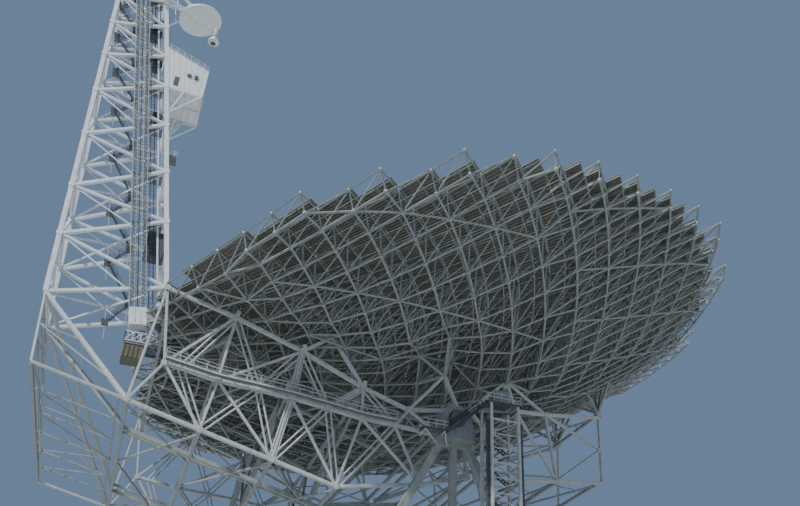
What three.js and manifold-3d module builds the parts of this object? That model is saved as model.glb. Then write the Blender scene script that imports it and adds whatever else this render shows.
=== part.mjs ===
// Fully steerable radio telescope: a 1:10 scale model, from the ground up.
//
// Sizes are written in metres of the real telescope and become millimetres of the model
// in one place, METRE. +X points from the feed arm to the far rim of the dish, +Y to its
// far side and +Z up; the origin is on the azimuth axis at ground level. The dish is
// modelled as it is parked, 10 degrees off the zenith.

import * as THREE from 'three';
import { mergeVertices } from 'three/addons/utils/BufferGeometryUtils.js';
import Module from 'manifold-3d';

const wasm = await Module();
wasm.setup();

// Scale and clearances
const METRE = 100;            // millimetres of the model for a metre of the telescope
const GAP = 0.003;            // clearance where two pieces meet, 0.3 mm on the model
const RUNNING_GAP = 0.08;     // clearance of pieces that move past each other
const ROUND_SIDES = 24;       // sides of the round pieces

// Clean-up of a flat lattice's outline, in millimetres and square millimetres
const LOOP_TOLERANCE = 0.01;
const SHORT_EDGE = 4;
const STRAIGHT = 0.5;
const SMALL_OPENING = 400;

// Ground works and azimuth track
const TRACK_RADIUS = 31.96;   // wheels run here, on the corners of a 45.2 m square
const FOUNDATION_WIDTH = 4.6;
const FOUNDATION_HEIGHT = 1.0;
const RAIL_WIDTH = 0.9;
const RAIL_HEIGHT = 0.3;
const PINTLE_RADIUS = 3.6;
const PINTLE_HEIGHT = 2.6;
const PINTLE_PIN_RADIUS = 1.1;
const PINTLE_PIN_HEIGHT = 2.2;

// Alidade
const CORNER = 22.6;          // corners of the base square, from the azimuth axis
const BASE_LEVEL = 4.6;       // centre of the base beams
const WHEEL_RADIUS = 1.05;
const A_FRAME_Y = 24.2;       // mid plane of each A-frame
const A_FRAME_DEPTH = 1.3;
const A_FRAME_TOP = 44.4;

// Elevation axis and tipping structure
const AXIS_HEIGHT = 47.75;
const SHAFT_RADIUS = 1.2;
const TRUSS_Y = 22;           // mid plane of each side truss
const TRUSS_DEPTH = 1.0;
const WHEEL_RIM = 30;         // elevation wheel

// Reflector: an off-axis piece of a paraboloid, tilted with the tipping structure
const FOUR_FOCAL = 276.9;     // 4 x focal length
const TILT = THREE.MathUtils.degToRad(10.03);
const RIM_CENTRE = 54.9;      // from the paraboloid's axis
const RIM_HALF_LENGTH = 45.9;
const RIM_HALF_WIDTH = 53;
const AXIS_TO_VERTEX_X = 54.4;
const AXIS_TO_VERTEX_Z = 4.9;
const SHELL_THICKNESS = 0.3;

// Finishes
const finish = (colour, roughness, metalness) =>
  new THREE.MeshStandardMaterial({ color: colour, roughness, metalness });
const whiteSteel = finish(0xd6dade, 0.55, 0.1);
const greySteel = finish(0x9a9ea2, 0.6, 0.2);
const panelAluminium = finish(0xb9bdb8, 0.5, 0.5);
const concrete = finish(0xa9a49a, 0.9, 0);
const railSteel = finish(0x6d6a66, 0.45, 0.8);
const cabinWhite = finish(0xe6e8e8, 0.5, 0);

const telescope = new THREE.Group();

// Solids

/** A closed three.js geometry as a solid that can be joined and cut. */
function solidOf(geometry) {
  const bare = geometry.index ? geometry.toNonIndexed() : geometry.clone();
  bare.deleteAttribute('normal');
  bare.deleteAttribute('uv');
  const merged = mergeVertices(bare, 1e-3);
  return new wasm.Manifold(new wasm.Mesh({
    numProp: 3,
    vertProperties: new Float32Array(merged.attributes.position.array),
    triVerts: new Uint32Array(merged.index.array),
  }));
}

/** The geometry of a solid. */
function geometryOf(solid) {
  const mesh = solid.getMesh();
  const geometry = new THREE.BufferGeometry();
  geometry.setAttribute('position', new THREE.BufferAttribute(mesh.vertProperties, 3));
  geometry.setIndex(new THREE.BufferAttribute(mesh.triVerts, 1));
  return geometry;
}

/** The largest connected piece of a solid, without the slivers that a cut leaves. */
function largestPiece(solid) {
  const pieces = solid.decompose();
  return pieces.reduce((best, piece) => (piece.volume() > best.volume() ? piece : best));
}

/** Adds a solid or a closed geometry to the telescope as a named sub-part. */
function addPart(name, shape, material) {
  let geometry = shape;
  if (!shape.isBufferGeometry) {
    const rounded = solidOf(geometryOf(largestPiece(shape)));
    geometry = geometryOf(largestPiece(rounded));
    geometry.computeVertexNormals();
  }
  const part = new THREE.Mesh(geometry, material);
  part.name = name;
  telescope.add(part);
  return part;
}

/** Adds a sub-part and its mirror image beyond the plane y = 0, as NAME_near and NAME_far. */
function addPair(name, nearSolid, material) {
  addPart(`${name}_near`, nearSolid, material);
  addPart(`${name}_far`, nearSolid.mirror([0, 1, 0]), material);
}

const vector = ([x, y, z]) => new THREE.Vector3(x, y, z);
const lerp = (a, b, t) => a.map((value, i) => value + (b[i] - value) * t);

/** A straight member between two points, `width` across and `depth` along `normal`. */
function member(from, to, width, depth = width, normal = [0, 1, 0]) {
  return { from, to, width, depth, normal };
}

/** A light three-sided member, for the space frames. */
function strut(from, to, width) {
  return { from, to, width, depth: width, normal: [0, 0, 1], sides: 3 };
}

/** The solid of a member, grown on every side by `grow` metres. */
function memberSolid({ from, to, width, depth, normal, sides = 4 }, grow = 0) {
  const along = vector(to).sub(vector(from));
  const length = along.length() + 2 * grow;
  along.normalize();
  const wanted = vector(normal).normalize();
  if (Math.abs(along.dot(wanted)) > 0.98) wanted.set(1, 0, 0);
  const side = new THREE.Vector3().crossVectors(wanted, along).normalize();
  const face = new THREE.Vector3().crossVectors(along, side);
  const centre = vector(from).add(vector(to)).multiplyScalar(METRE / 2);
  let box;
  if (sides === 3) {
    const radius = width / Math.sqrt(3) + 2 * grow;
    box = new THREE.CylinderGeometry(radius * METRE, radius * METRE, length * METRE, 3);
    box.rotateZ(-Math.PI / 2);
    box.rotateX(-Math.PI / 2);
  } else {
    box = new THREE.BoxGeometry(
      length * METRE, (width + 2 * grow) * METRE, (depth + 2 * grow) * METRE);
  }
  box.applyMatrix4(new THREE.Matrix4().makeBasis(along, side, face).setPosition(centre));
  return solidOf(box);
}

/** Joins solids. The last one is added on its own, which makes one face of flush faces. */
function union(solids) {
  if (solids.length === 1) return solids[0];
  const first = wasm.Manifold.union(solids.slice(0, -1));
  return solidOf(geometryOf(first)).add(solids[solids.length - 1]);
}

/** Joins members into one body. */
const joined = (members) => union(members.map((m) => memberSolid(m)));

/** The closed edge loops of a flat solid's upper face, at the height `level`. */
function faceLoops(solid, level) {
  const { vertProperties: xyz, triVerts } = solid.getMesh();
  const onFace = (v) => Math.abs(xyz[3 * v + 2] - level) < LOOP_TOLERANCE;
  const edges = new Set();
  for (let t = 0; t < triVerts.length; t += 3) {
    const corners = [...triVerts.slice(t, t + 3)];
    if (corners.every(onFace)) corners.forEach((v, i) => edges.add(`${v},${corners[(i + 1) % 3]}`));
  }
  const next = new Map();
  for (const edge of edges) {
    const [from, to] = edge.split(',').map(Number);
    if (!edges.has(`${to},${from}`)) next.set(from, [...(next.get(from) ?? []), to]);
  }
  const loops = [];
  for (const start of next.keys()) {
    const loop = [];
    let at = start;
    while (next.get(at)?.length) {
      loop.push(new THREE.Vector2(xyz[3 * at], xyz[3 * at + 1]));
      at = next.get(at).pop();
    }
    if (loop.length > 2) loops.push(loop);
  }
  return loops;
}

/** A loop without its doubled points and without points along its straight stretches. */
function tidyLoop(loop) {
  const spaced = loop.filter((p, i) => p.distanceTo(loop[(i + 1) % loop.length]) > SHORT_EDGE);
  return spaced.filter((p, i) => {
    const before = spaced[(i + spaced.length - 1) % spaced.length];
    const after = spaced[(i + 1) % spaced.length];
    const chord = after.clone().sub(before);
    return Math.abs(chord.cross(p.clone().sub(before))) / chord.length() > STRAIGHT;
  });
}

/**
 * Joins members of one plane into a flat lattice: their common outline with its openings,
 * extruded to the depth of the members and put in its place.
 */
function flatLattice(members) {
  const out = vector(members[0].normal).normalize();
  const right = Math.abs(out.z) > 0.9
    ? new THREE.Vector3(0, 1, 0).cross(out).normalize()
    : new THREE.Vector3(0, 0, 1).cross(out).normalize();
  const up = new THREE.Vector3().crossVectors(out, right);
  const place = new THREE.Matrix4().makeBasis(right, up, out)
    .setPosition(vector(members[0].from).multiplyScalar(METRE));
  const toPlane = place.clone().invert();
  const depth = members[0].depth * METRE;
  const bars = members.map(({ from, to, width }) => {
    const [a, b] = [from, to].map((end) => vector(end).multiplyScalar(METRE).applyMatrix4(toPlane));
    const bar = new THREE.BoxGeometry(Math.hypot(b.x - a.x, b.y - a.y), width * METRE, depth);
    bar.rotateZ(Math.atan2(b.y - a.y, b.x - a.x));
    bar.translate((a.x + b.x) / 2, (a.y + b.y) / 2, 0);
    return solidOf(bar);
  });
  const loops = faceLoops(union(bars), depth / 2).map(tidyLoop).filter((loop) => loop.length > 2);
  loops.sort((a, b) => Math.abs(THREE.ShapeUtils.area(b)) - Math.abs(THREE.ShapeUtils.area(a)));
  const slab = (loop, thickness) => {
    const shape = new THREE.Shape(loop);
    const body = new THREE.ExtrudeGeometry(shape, { depth: thickness, bevelEnabled: false });
    return solidOf(body.translate(0, 0, -thickness / 2));
  };
  const [outline, ...openings] = loops;
  const cuts = openings
    .filter((opening) => Math.abs(THREE.ShapeUtils.area(opening)) > SMALL_OPENING)
    .map((opening) => slab(opening, depth + METRE));
  const lattice = slab(outline, depth).subtract(wasm.Manifold.union(cuts));
  return solidOf(geometryOf(lattice).applyMatrix4(place));
}

/** Cuts a body clear of the members of its neighbours. */
function clearOf(body, neighbours, grow = GAP) {
  return body.subtract(union(neighbours.map((m) => memberSolid(m, grow))));
}

/** Members along a list of points. */
function chain(points, width, depth, normal) {
  return points.slice(1).map((p, i) => member(points[i], p, width, depth, normal));
}

/** Members between pairs of points. */
const links = (pairs, width, depth, normal) =>
  pairs.map(([a, b]) => member(a, b, width, depth, normal));

/** The same members on the other side of the plane y = 0. */
function mirrored(members) {
  const flip = ([x, y, z]) => [x, -y, z];
  return members.map((m) => ({ ...m, from: flip(m.from), to: flip(m.to), normal: flip(m.normal) }));
}

/** A box from its lowest to its highest corner, in metres. */
function block([x0, y0, z0], [x1, y1, z1]) {
  const box = new THREE.BoxGeometry((x1 - x0) * METRE, (y1 - y0) * METRE, (z1 - z0) * METRE);
  box.translate((x0 + x1) / 2 * METRE, (y0 + y1) / 2 * METRE, (z0 + z1) / 2 * METRE);
  return box;
}

/** The radius of a many-sided bore that a round piece of `radius` turns in. */
const boreRadius = (radius) => (radius + GAP) / Math.cos(Math.PI / ROUND_SIDES);

/** A cylinder along y or z, in metres. */
function drum(radius, length, centre, axis, segments = ROUND_SIDES) {
  const cylinder = new THREE.CylinderGeometry(radius * METRE, radius * METRE, length * METRE, segments);
  if (axis === 'z') cylinder.rotateX(Math.PI / 2);
  cylinder.translate(...centre.map((value) => value * METRE));
  return cylinder;
}

/** A flat outline in the x-z plane, given a thickness in y. */
function plate(outline, y0, y1) {
  const shape = new THREE.Shape(outline.map(([x, z]) => new THREE.Vector2(x * METRE, z * METRE)));
  const body = new THREE.ExtrudeGeometry(shape, { depth: (y1 - y0) * METRE, bevelEnabled: false });
  body.rotateX(Math.PI / 2);
  body.translate(0, y1 * METRE, 0);
  return body;
}

/** A ring of rectangular section round the azimuth axis. */
function ring(inner, outer, bottom, top, segments = 28) {
  const corners = [[inner, bottom], [outer, bottom], [outer, top], [inner, top], [inner, bottom]];
  const lathe = new THREE.LatheGeometry(
    corners.map(([r, z]) => new THREE.Vector2(r * METRE, z * METRE)), segments);
  lathe.rotateX(Math.PI / 2);
  return lathe;
}

// Ground works: ring foundation, rail and the central pintle bearing's pedestal

function addGroundWorks() {
  const inner = TRACK_RADIUS - FOUNDATION_WIDTH / 2;
  const outer = TRACK_RADIUS + FOUNDATION_WIDTH / 2;
  addPart('track_foundation', ring(inner, outer, 0, FOUNDATION_HEIGHT), concrete);
  const railBottom = FOUNDATION_HEIGHT + GAP;
  addPart('azimuth_rail', ring(TRACK_RADIUS - RAIL_WIDTH / 2, TRACK_RADIUS + RAIL_WIDTH / 2,
    railBottom, railBottom + RAIL_HEIGHT), railSteel);
  const pedestal = solidOf(drum(PINTLE_RADIUS, PINTLE_HEIGHT, [0, 0, PINTLE_HEIGHT / 2], 'z'));
  const pin = solidOf(drum(PINTLE_PIN_RADIUS, PINTLE_PIN_HEIGHT + 0.2,
    [0, 0, PINTLE_HEIGHT - 0.1 + PINTLE_PIN_HEIGHT / 2], 'z'));
  addPart('pintle_pedestal', pedestal.add(pin), concrete);
}

// Alidade base: hub on the pintle, cross beams, corner trucks

const RAIL_TOP = FOUNDATION_HEIGHT + GAP + RAIL_HEIGHT;
const BASE_BEAM = 1.6;
const HUB_RADIUS = 2.8;
const END_BEAM_DROP = 0.985;    // lowest edge of the tilted end beam, below its centre

/** Beams from the hub to the corners, long enough to be cut to fit the base beams there. */
const crossBeams = () => [[-1, -1], [-1, 1], [1, -1], [1, 1]].map(([sx, sy]) => {
  const reach = CORNER - 0.1;
  return member([0, 0, BASE_LEVEL], [sx * reach, sy * reach, BASE_LEVEL], 1.2, BASE_BEAM, [0, 0, 1]);
});

function addBase() {
  const hubBottom = PINTLE_HEIGHT + GAP;
  const hubTop = BASE_LEVEL + 1.2;
  const hub = solidOf(drum(HUB_RADIUS, hubTop - hubBottom, [0, 0, (hubTop + hubBottom) / 2], 'z'));
  const bore = solidOf(drum(boreRadius(PINTLE_PIN_RADIUS), PINTLE_PIN_HEIGHT + 0.2,
    [0, 0, PINTLE_HEIGHT + PINTLE_PIN_HEIGHT / 2], 'z'));
  const beams = clearOf(joined(crossBeams()), [...aFrameNear, ...mirrored(aFrameNear),
    ...endFrameMembers(-1), ...endFrameMembers(1)]);
  addPart('pintle_cross_beams', beams.add(hub).subtract(bore), whiteSteel);
}

/** One corner truck: two wheels in a box frame, turned to run along the rail. */
function addTruck(name, signX, signY) {
  const heading = Math.atan2(signX, -signY);
  const frameBottom = RAIL_TOP + WHEEL_RADIUS + 0.25;
  const frameTop = BASE_LEVEL - END_BEAM_DROP - GAP;
  let truck = solidOf(block([-3.4, -0.9, frameBottom - 0.5], [3.4, 0.9, frameTop - 0.5]));
  truck = truck.add(solidOf(block([-1.3, -1.3, frameTop - 0.7], [1.3, 1.3, frameTop])));
  for (const x of [-2.1, 2.1]) {
    truck = truck.add(solidOf(drum(WHEEL_RADIUS, 0.7, [x, 0, RAIL_TOP + GAP + WHEEL_RADIUS], 'y', 20)));
  }
  const placed = truck.rotate([0, 0, THREE.MathUtils.radToDeg(heading)])
    .translate([signX * CORNER * METRE, signY * CORNER * METRE, 0]);
  addPart(name, placed, greySteel);
}

function addTrucks() {
  addTruck('truck_near_left', -1, -1);
  addTruck('truck_near_right', 1, -1);
  addTruck('truck_far_left', -1, 1);
  addTruck('truck_far_right', 1, 1);
}

// Alidade A-frames: one flat lattice on each side, with the bearing head on top

const LEG_TOP_X = 2.0;
const legPoint = (side, z) =>
  side * (CORNER + (LEG_TOP_X - CORNER) * (z - BASE_LEVEL) / (A_FRAME_TOP - BASE_LEVEL));

function aFrameMembers() {
  const y = -A_FRAME_Y;
  const levels = [BASE_LEVEL, 15.5, 25.5, 34.5];
  const at = (side, z) => [legPoint(side, z), y, z];
  const centre = (z) => [0, y, z];
  const members = [];
  for (const side of [-1, 1]) {
    members.push(member(at(side, BASE_LEVEL), at(side, A_FRAME_TOP), 1.5, A_FRAME_DEPTH));
    levels.slice(1).forEach((z, i) => {
      members.push(member(centre(levels[i]), at(side, z), 0.8, A_FRAME_DEPTH));
    });
  }
  levels.forEach((z, i) => {
    members.push(member(at(-1, z), at(1, z), i ? 0.9 : BASE_BEAM, A_FRAME_DEPTH));
  });
  members.push(member(centre(34.5), centre(A_FRAME_TOP), 2.2, A_FRAME_DEPTH));
  members.push(member([-2.6, y, A_FRAME_TOP], [2.6, y, A_FRAME_TOP], 1.2, A_FRAME_DEPTH));
  return members;
}

const aFrameNear = aFrameMembers();

function addAFrames() {
  addPair('a_frame', flatLattice(aFrameNear), whiteSteel);
}

// Alidade end frames: they join the two A-frames at the left and at the right

const END_FRAME_TOP = 11.5;
const END_FRAME_LEAN = 0.48;    // they lean inwards with the legs of the A-frames

function endFrameMembers(side) {
  const reach = A_FRAME_Y - A_FRAME_DEPTH / 2 - GAP;
  const inset = reach - 0.9;
  const x = (z) => legPoint(side, z);
  const normal = [1, 0, END_FRAME_LEAN * side];
  const bottom = BASE_LEVEL;
  const top = END_FRAME_TOP;
  const members = [
    member([x(bottom), -reach, bottom], [x(bottom), reach, bottom], BASE_BEAM, 1.2, normal),
    member([x(top), -reach, top], [x(top), reach, top], 0.9, 0.9, normal),
  ];
  const stations = [-inset, -inset / 2, 0, inset / 2, inset];
  stations.slice(1).forEach((y, i) => {
    const rises = i % 2 === 0;
    members.push(member([x(rises ? bottom : top), stations[i], rises ? bottom : top],
      [x(rises ? top : bottom), y, rises ? top : bottom], 0.7, 0.7, normal));
  });
  return members;
}

function addEndFrames() {
  addPart('end_frame_left', joined(endFrameMembers(-1)), whiteSteel);
  addPart('end_frame_right', joined(endFrameMembers(1)), whiteSteel);
}

// Elevation bearings, with the shaft stubs of the tipping structure in them

function addBearings() {
  for (const [name, side] of [['near', -1], ['far', 1]]) {
    const seat = A_FRAME_TOP + 0.6 + GAP;
    const y0 = A_FRAME_Y - 1.5;
    const y1 = A_FRAME_Y + 1.5;
    const [low, high] = side < 0 ? [-y1, -y0] : [y0, y1];
    const housing = solidOf(plate([[-2.6, seat], [2.6, seat], [2.6, seat + 0.9], [2.1, AXIS_HEIGHT + 0.6],
      [1.1, AXIS_HEIGHT + 2], [-1.1, AXIS_HEIGHT + 2], [-2.1, AXIS_HEIGHT + 0.6], [-2.6, seat + 0.9]],
    low, high));
    const bore = solidOf(drum(boreRadius(SHAFT_RADIUS), 4, [0, side * A_FRAME_Y, AXIS_HEIGHT], 'y'));
    addPart(`bearing_housing_${name}`, housing.subtract(bore), greySteel);
    const inner = TRUSS_Y + TRUSS_DEPTH / 2 + GAP;
    const outer = A_FRAME_Y + 1.9;
    addPart(`elevation_shaft_${name}`, drum(SHAFT_RADIUS, outer - inner,
      [0, side * (inner + outer) / 2, AXIS_HEIGHT], 'y'), railSteel);
  }
}

// Lift tower outside the near A-frame, from the base to the bearing

const LIFT_TOWER = { left: 3.4, right: 7.4, near: -29.4, far: -26.2, bottom: 3.6, top: 47.2 };

function liftTowerMembers() {
  const { left, right, near, far, bottom, top } = LIFT_TOWER;
  const members = [];
  const corners = [[left, near], [right, near], [right, far], [left, far]];
  for (const [x, y] of corners) members.push(member([x, y, bottom], [x, y, top], 0.45));
  const bays = 7;
  for (let bay = 0; bay <= bays; bay += 1) {
    const z = bottom + 0.3 + (top - bottom - 0.6) * bay / bays;
    corners.forEach(([x, y], i) => {
      const [nx, ny] = corners[(i + 1) % 4];
      members.push(member([x, y, z], [nx, ny, z], 0.25));
    });
  }
  const reach = -A_FRAME_Y - A_FRAME_DEPTH / 2 - GAP;
  for (const x of [left, right]) {
    members.push(member([x, near, BASE_LEVEL], [x, reach, BASE_LEVEL], 0.7));
    members.push(member([x, far, 25.5], [x, -A_FRAME_Y - 0.45 - GAP, 25.5], 0.4));
  }
  return members;
}

function addLiftTower() {
  addPart('lift_tower', clearOf(joined(liftTowerMembers()), aFrameNear), whiteSteel);
}

// Elevation drive: a braced stand on the hub under the elevation wheel

function addElevationDrive() {
  const foot = BASE_LEVEL + 1.2 + GAP;
  const top = AXIS_HEIGHT - WHEEL_RIM - 0.5 - RUNNING_GAP;
  const members = [];
  for (const [sx, sy] of [[-1, -1], [1, -1], [1, 1], [-1, 1]]) {
    members.push(member([sx * 1.6, sy * 1.6, foot + 0.2], [sx * 1.1, sy * 1.1, top - 1.6], 0.6));
  }
  const stand = joined(members)
    .add(solidOf(block([-1.9, -1.9, foot], [1.9, 1.9, foot + 0.5])))
    .add(solidOf(block([-1.7, -2.2, top - 2.2], [1.7, 2.2, top])));
  addPart('elevation_drive', stand, greySteel);
}

// Side trusses of the tipping structure: three chords with posts and diagonals between them

const CHORD_A = [[-39.8, 60.7], [-30.6, 58.4], [-21.3, 55.3], [-12.5, 51.6], [-5.8, 49.5], [1.7, 50.8]];
const CHORD_B = [[-38.2, 49.9], [-31.5, 48.8], [-26.4, 48.5], [-22.0, 48.2], [-17.1, 47.65], [-12.4, 47.05],
  [-7.7, 46.9], [-0.8, 46.4]];
const CHORD_C = [[-52.6, 47.0], [-41.5, 44.2], [-32.6, 41.8], [-23.5, 39.4], [-15.1, 37.1], [-3.8, 39.0],
  [3.0, 41.0]];
const SUPPORT_LEG = [-17.4, 58.5];
const YOKE_TOP = [-0.6, 55.9];

function sideTrussMembers() {
  const y = -TRUSS_Y;
  const at = ([x, z]) => [x, y, z];
  const [a, b, c] = [CHORD_A.map(at), CHORD_B.map(at), CHORD_C.map(at)];
  const leg = at(SUPPORT_LEG);
  const yoke = at(YOKE_TOP);
  return [
    ...chain(a, 1.0, TRUSS_DEPTH),
    ...chain(b, 0.9, TRUSS_DEPTH),
    ...chain(c, 1.0, TRUSS_DEPTH),
    ...links([[a[0], b[0]], [a[1], b[0]], [a[1], b[1]], [a[2], b[1]], [a[2], b[3]], [a[3], b[4]],
      [a[3], b[5]], [a[4], b[6]], [a[4], b[7]], [a[5], b[7]],
      [c[1], a[0]], [c[1], b[0]], [c[2], b[0]], [c[2], b[1]], [c[3], b[1]], [c[3], b[3]], [c[4], b[3]],
      [c[4], b[5]], [c[5], b[5]], [c[5], b[6]], [c[5], b[7]], [c[6], b[7]]], 0.6, TRUSS_DEPTH),
    ...links([[leg, a[2]], [leg, a[3]], [yoke, a[4]], [yoke, a[5]], [a[5], c[6]]], 0.8, TRUSS_DEPTH),
    member([0, y, AXIS_HEIGHT - 2.4], [0, y, AXIS_HEIGHT + 2.0], 3.4, TRUSS_DEPTH),
    member([leg[0], y, leg[2] - 0.8], leg, 1.2, TRUSS_DEPTH),
    member([yoke[0], y, yoke[2] - 0.8], yoke, 1.2, TRUSS_DEPTH),
  ];
}

const sideTrussNear = sideTrussMembers();
const sideTrussFar = mirrored(sideTrussNear);

function addSideTrusses() {
  addPair('side_truss', flatLattice(sideTrussNear), whiteSteel);
}

// Rear trusses: the box narrows from the bearings to its end behind the axis

const TAPER_START = [3.1, TRUSS_Y];
const TAPER_END = [34.6, 7.4];
const taperY = (x) => TAPER_START[1]
  + (TAPER_END[1] - TAPER_START[1]) * (x - TAPER_START[0]) / (TAPER_END[0] - TAPER_START[0]);
const TAPER_NORMAL = [TAPER_START[1] - TAPER_END[1], TAPER_START[0] - TAPER_END[0], 0];
const REAR_TOP = [[3.4, 51.4], [13.2, 54.9], [20.2, 56.9], [34.6, 61.8]];
const REAR_BOTTOM = [[4.4, 41.3], [14.2, 43.8], [22.1, 46.2], [34.2, 49.5]];
const REAR_MID = [34.4, 55.6];
const REAR_PEAK = [11.3, 59.2];

function rearTrussMembers() {
  const at = ([x, z]) => [x, -taperY(x), z];
  const [t, u, m, k] = [REAR_TOP.map(at), REAR_BOTTOM.map(at), at(REAR_MID), at(REAR_PEAK)];
  return [
    ...chain(t, 0.9, 0.9, TAPER_NORMAL),
    ...chain(u, 0.9, 0.9, TAPER_NORMAL),
    ...links([[t[3], m], [m, u[3]], [t[0], u[0]], [t[0], u[1]], [t[1], u[1]], [t[1], u[2]], [t[2], u[2]],
      [t[2], m], [m, u[2]], [t[0], k], [t[1], k], [t[2], k]], 0.6, 0.9, TAPER_NORMAL),
    member([k[0], k[1], k[2] - 0.8], k, 1.2, 0.9, TAPER_NORMAL),
    member(t[3], [t[3][0], t[3][1], t[3][2] + 0.9], 1.2, 0.9, TAPER_NORMAL),
  ];
}

const rearTrussNear = rearTrussMembers();
const rearTrussFar = mirrored(rearTrussNear);

function addRearTrusses() {
  addPair('rear_truss', clearOf(flatLattice(rearTrussNear), sideTrussNear), whiteSteel);
}

// Cross frames between the trusses: cross members with diagonals from their middle

/** A ladder of cross members at the stations [x, z, half width], braced from the middle. */
function crossLadder(stations, width, brace) {
  const members = [];
  stations.forEach(([x, z, half], i) => {
    members.push(member([x, -half, z], [x, half, z], width, width, [0, 0, 1]));
    if (i === stations.length - 1) return;
    const [nx, nz, next] = stations[i + 1];
    for (const side of [-1, 1]) {
      members.push(member([x, 0, z], [nx, side * (next - 1), nz], brace, brace, [0, 0, 1]));
    }
  });
  return members;
}

const inside = TRUSS_Y - TRUSS_DEPTH / 2 - GAP;
const STRINGER_Y = 13;
const roofMembers = crossLadder([[-39.2, 57.4, inside], [-30.95, 55.8, inside], [-21.2, 54.0, inside],
  [-12.4, 51.2, inside], [-5.8, 49.4, inside], [1.2, 50.6, inside]], 0.8, 0.55);
const floorMembers = crossLadder([[-41.5, 44.2, inside], [-32.6, 41.8, inside], [-23.5, 39.4, inside],
  [-15.1, 37.1, inside], [-3.8, 39.0, inside], [2.6, 40.9, inside]], 0.8, 0.55);
for (const side of [-1, 1]) {
  const line = CHORD_C.slice(1, 6).map(([x, z]) => [x, side * STRINGER_Y, z]);
  floorMembers.push(...chain(line, 0.7, 0.7, [0, 0, 1]));
}

// Elbow: seven long members fan in below the feed arm's foot

function elbowMembers() {
  const [outer, inner] = [CHORD_C[0], CHORD_C[1]];
  const bays = 6;
  const members = [];
  const reach = TRUSS_Y - TRUSS_DEPTH / 2 - GAP;
  members.push(member([outer[0], -reach, outer[1]], [outer[0], reach, outer[1]], 0.9, 0.9, [0, 0, 1]));
  const shift = 1.0;
  const end = [inner[0] - shift, inner[1] + shift * (outer[1] - inner[1]) / (inner[0] - outer[0])];
  members.push(member([end[0], -reach, end[1]], [end[0], reach, end[1]], 0.6, 0.6, [0, 0, 1]));
  for (let i = 1; i < bays; i += 1) {
    const y = -TRUSS_Y + 2 * TRUSS_Y * i / bays;
    members.push(member([outer[0], y, outer[1]], [end[0], y, end[1]], 0.6, 0.6, [0, 0, 1]));
    const next = -TRUSS_Y + 2 * TRUSS_Y * (i + (i < bays / 2 ? 1 : -1)) / bays;
    if (i !== bays / 2) {
      members.push(member([outer[0], y, outer[1]], [end[0], next, end[1]], 0.4, 0.4, [0, 0, 1]));
    }
  }
  return members;
}

const rearHalf = (x) => taperY(x) - 0.55 - GAP;
const rearRoofMembers = crossLadder([[3.9, 51.6, rearHalf(3.9)], [13.2, 54.9, rearHalf(13.2)],
  [20.2, 56.9, rearHalf(20.2)], [33.4, 61.4, rearHalf(33.4)]], 0.7, 0.5);
const rearFloorMembers = crossLadder([[5.0, 41.5, rearHalf(5)], [14.2, 43.8, rearHalf(14.2)],
  [22.1, 46.2, rearHalf(22.1)], [33.0, 49.2, rearHalf(33)]], 0.7, 0.5);

function addCrossFrames() {
  addPart('roof_frame', joined(roofMembers), whiteSteel);
  addPart('floor_frame', joined(floorMembers), whiteSteel);
  addPart('elbow_frame', clearOf(joined(elbowMembers()),
    [...floorMembers, ...pedestalNear, ...pedestalFar, ...pedestalOuter]), whiteSteel);
  addPart('rear_roof_frame', clearOf(joined(rearRoofMembers), [...rearTrussNear, ...rearTrussFar]),
    whiteSteel);
  addPart('rear_floor_frame', clearOf(joined(rearFloorMembers), [...rearTrussNear, ...rearTrussFar]),
    whiteSteel);
}

// Elevation wheel with its counterweights, below the floor frames

const polar = (radius, degrees) => {
  const angle = THREE.MathUtils.degToRad(degrees);
  return [radius * Math.cos(angle), AXIS_HEIGHT + radius * Math.sin(angle)];
};
const WHEEL_DEPTH = 1.8;
const RIM_START = -112;
const RIM_END = -10;

function wheelMembers() {
  const at = ([x, z]) => [x, 0, z];
  const segments = 12;
  const rim = [];
  for (let i = 0; i <= segments; i += 1) {
    rim.push(at(polar(WHEEL_RIM, RIM_START + (RIM_END - RIM_START) * i / segments)));
  }
  const under = 0.4 + 0.4 + GAP;
  const top = [[-15.1, 37.1 - under], [-3.8, 39.0 - under], [2.6, 40.9 - under], [14.2, 43.8 - under],
    [22.1, 46.2 - under - 0.1]].map(at);
  const members = [...chain(rim, 1.0, WHEEL_DEPTH), ...chain(top, 0.8, WHEEL_DEPTH)];
  members.push(...links([[top[0], rim[0]], [top[0], rim[2]], [top[1], rim[2]], [top[1], rim[4]],
    [top[2], rim[4]], [top[2], rim[6]], [top[3], rim[6]], [top[3], rim[8]], [top[4], rim[8]],
    [top[4], rim[10]], [top[4], rim[12]]], 0.7, WHEEL_DEPTH));
  return members;
}

/** A counterweight that follows the wheel's rim between two angles. */
function counterweightOutline(inner, outer, start, end) {
  const steps = 6;
  const outline = [];
  for (let i = 0; i <= steps; i += 1) outline.push(polar(outer, start + (end - start) * i / steps));
  for (let i = steps; i >= 0; i -= 1) outline.push(polar(inner, start + (end - start) * i / steps));
  return outline;
}

function addElevationWheel() {
  const wheel = clearOf(flatLattice(wheelMembers()), [...floorMembers, ...rearFloorMembers]);
  addPart('elevation_wheel', wheel, whiteSteel);
  const outline = counterweightOutline(24.4, 30.2, -62, -22);
  const [inner, outer] = [WHEEL_DEPTH / 2 + GAP, 4.4];
  addPart('counterweight_near', plate(outline, -outer, -inner), greySteel);
  addPart('counterweight_far', plate(outline, inner, outer), greySteel);
}

// Feed arm tower: four faces that narrow upwards

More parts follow.
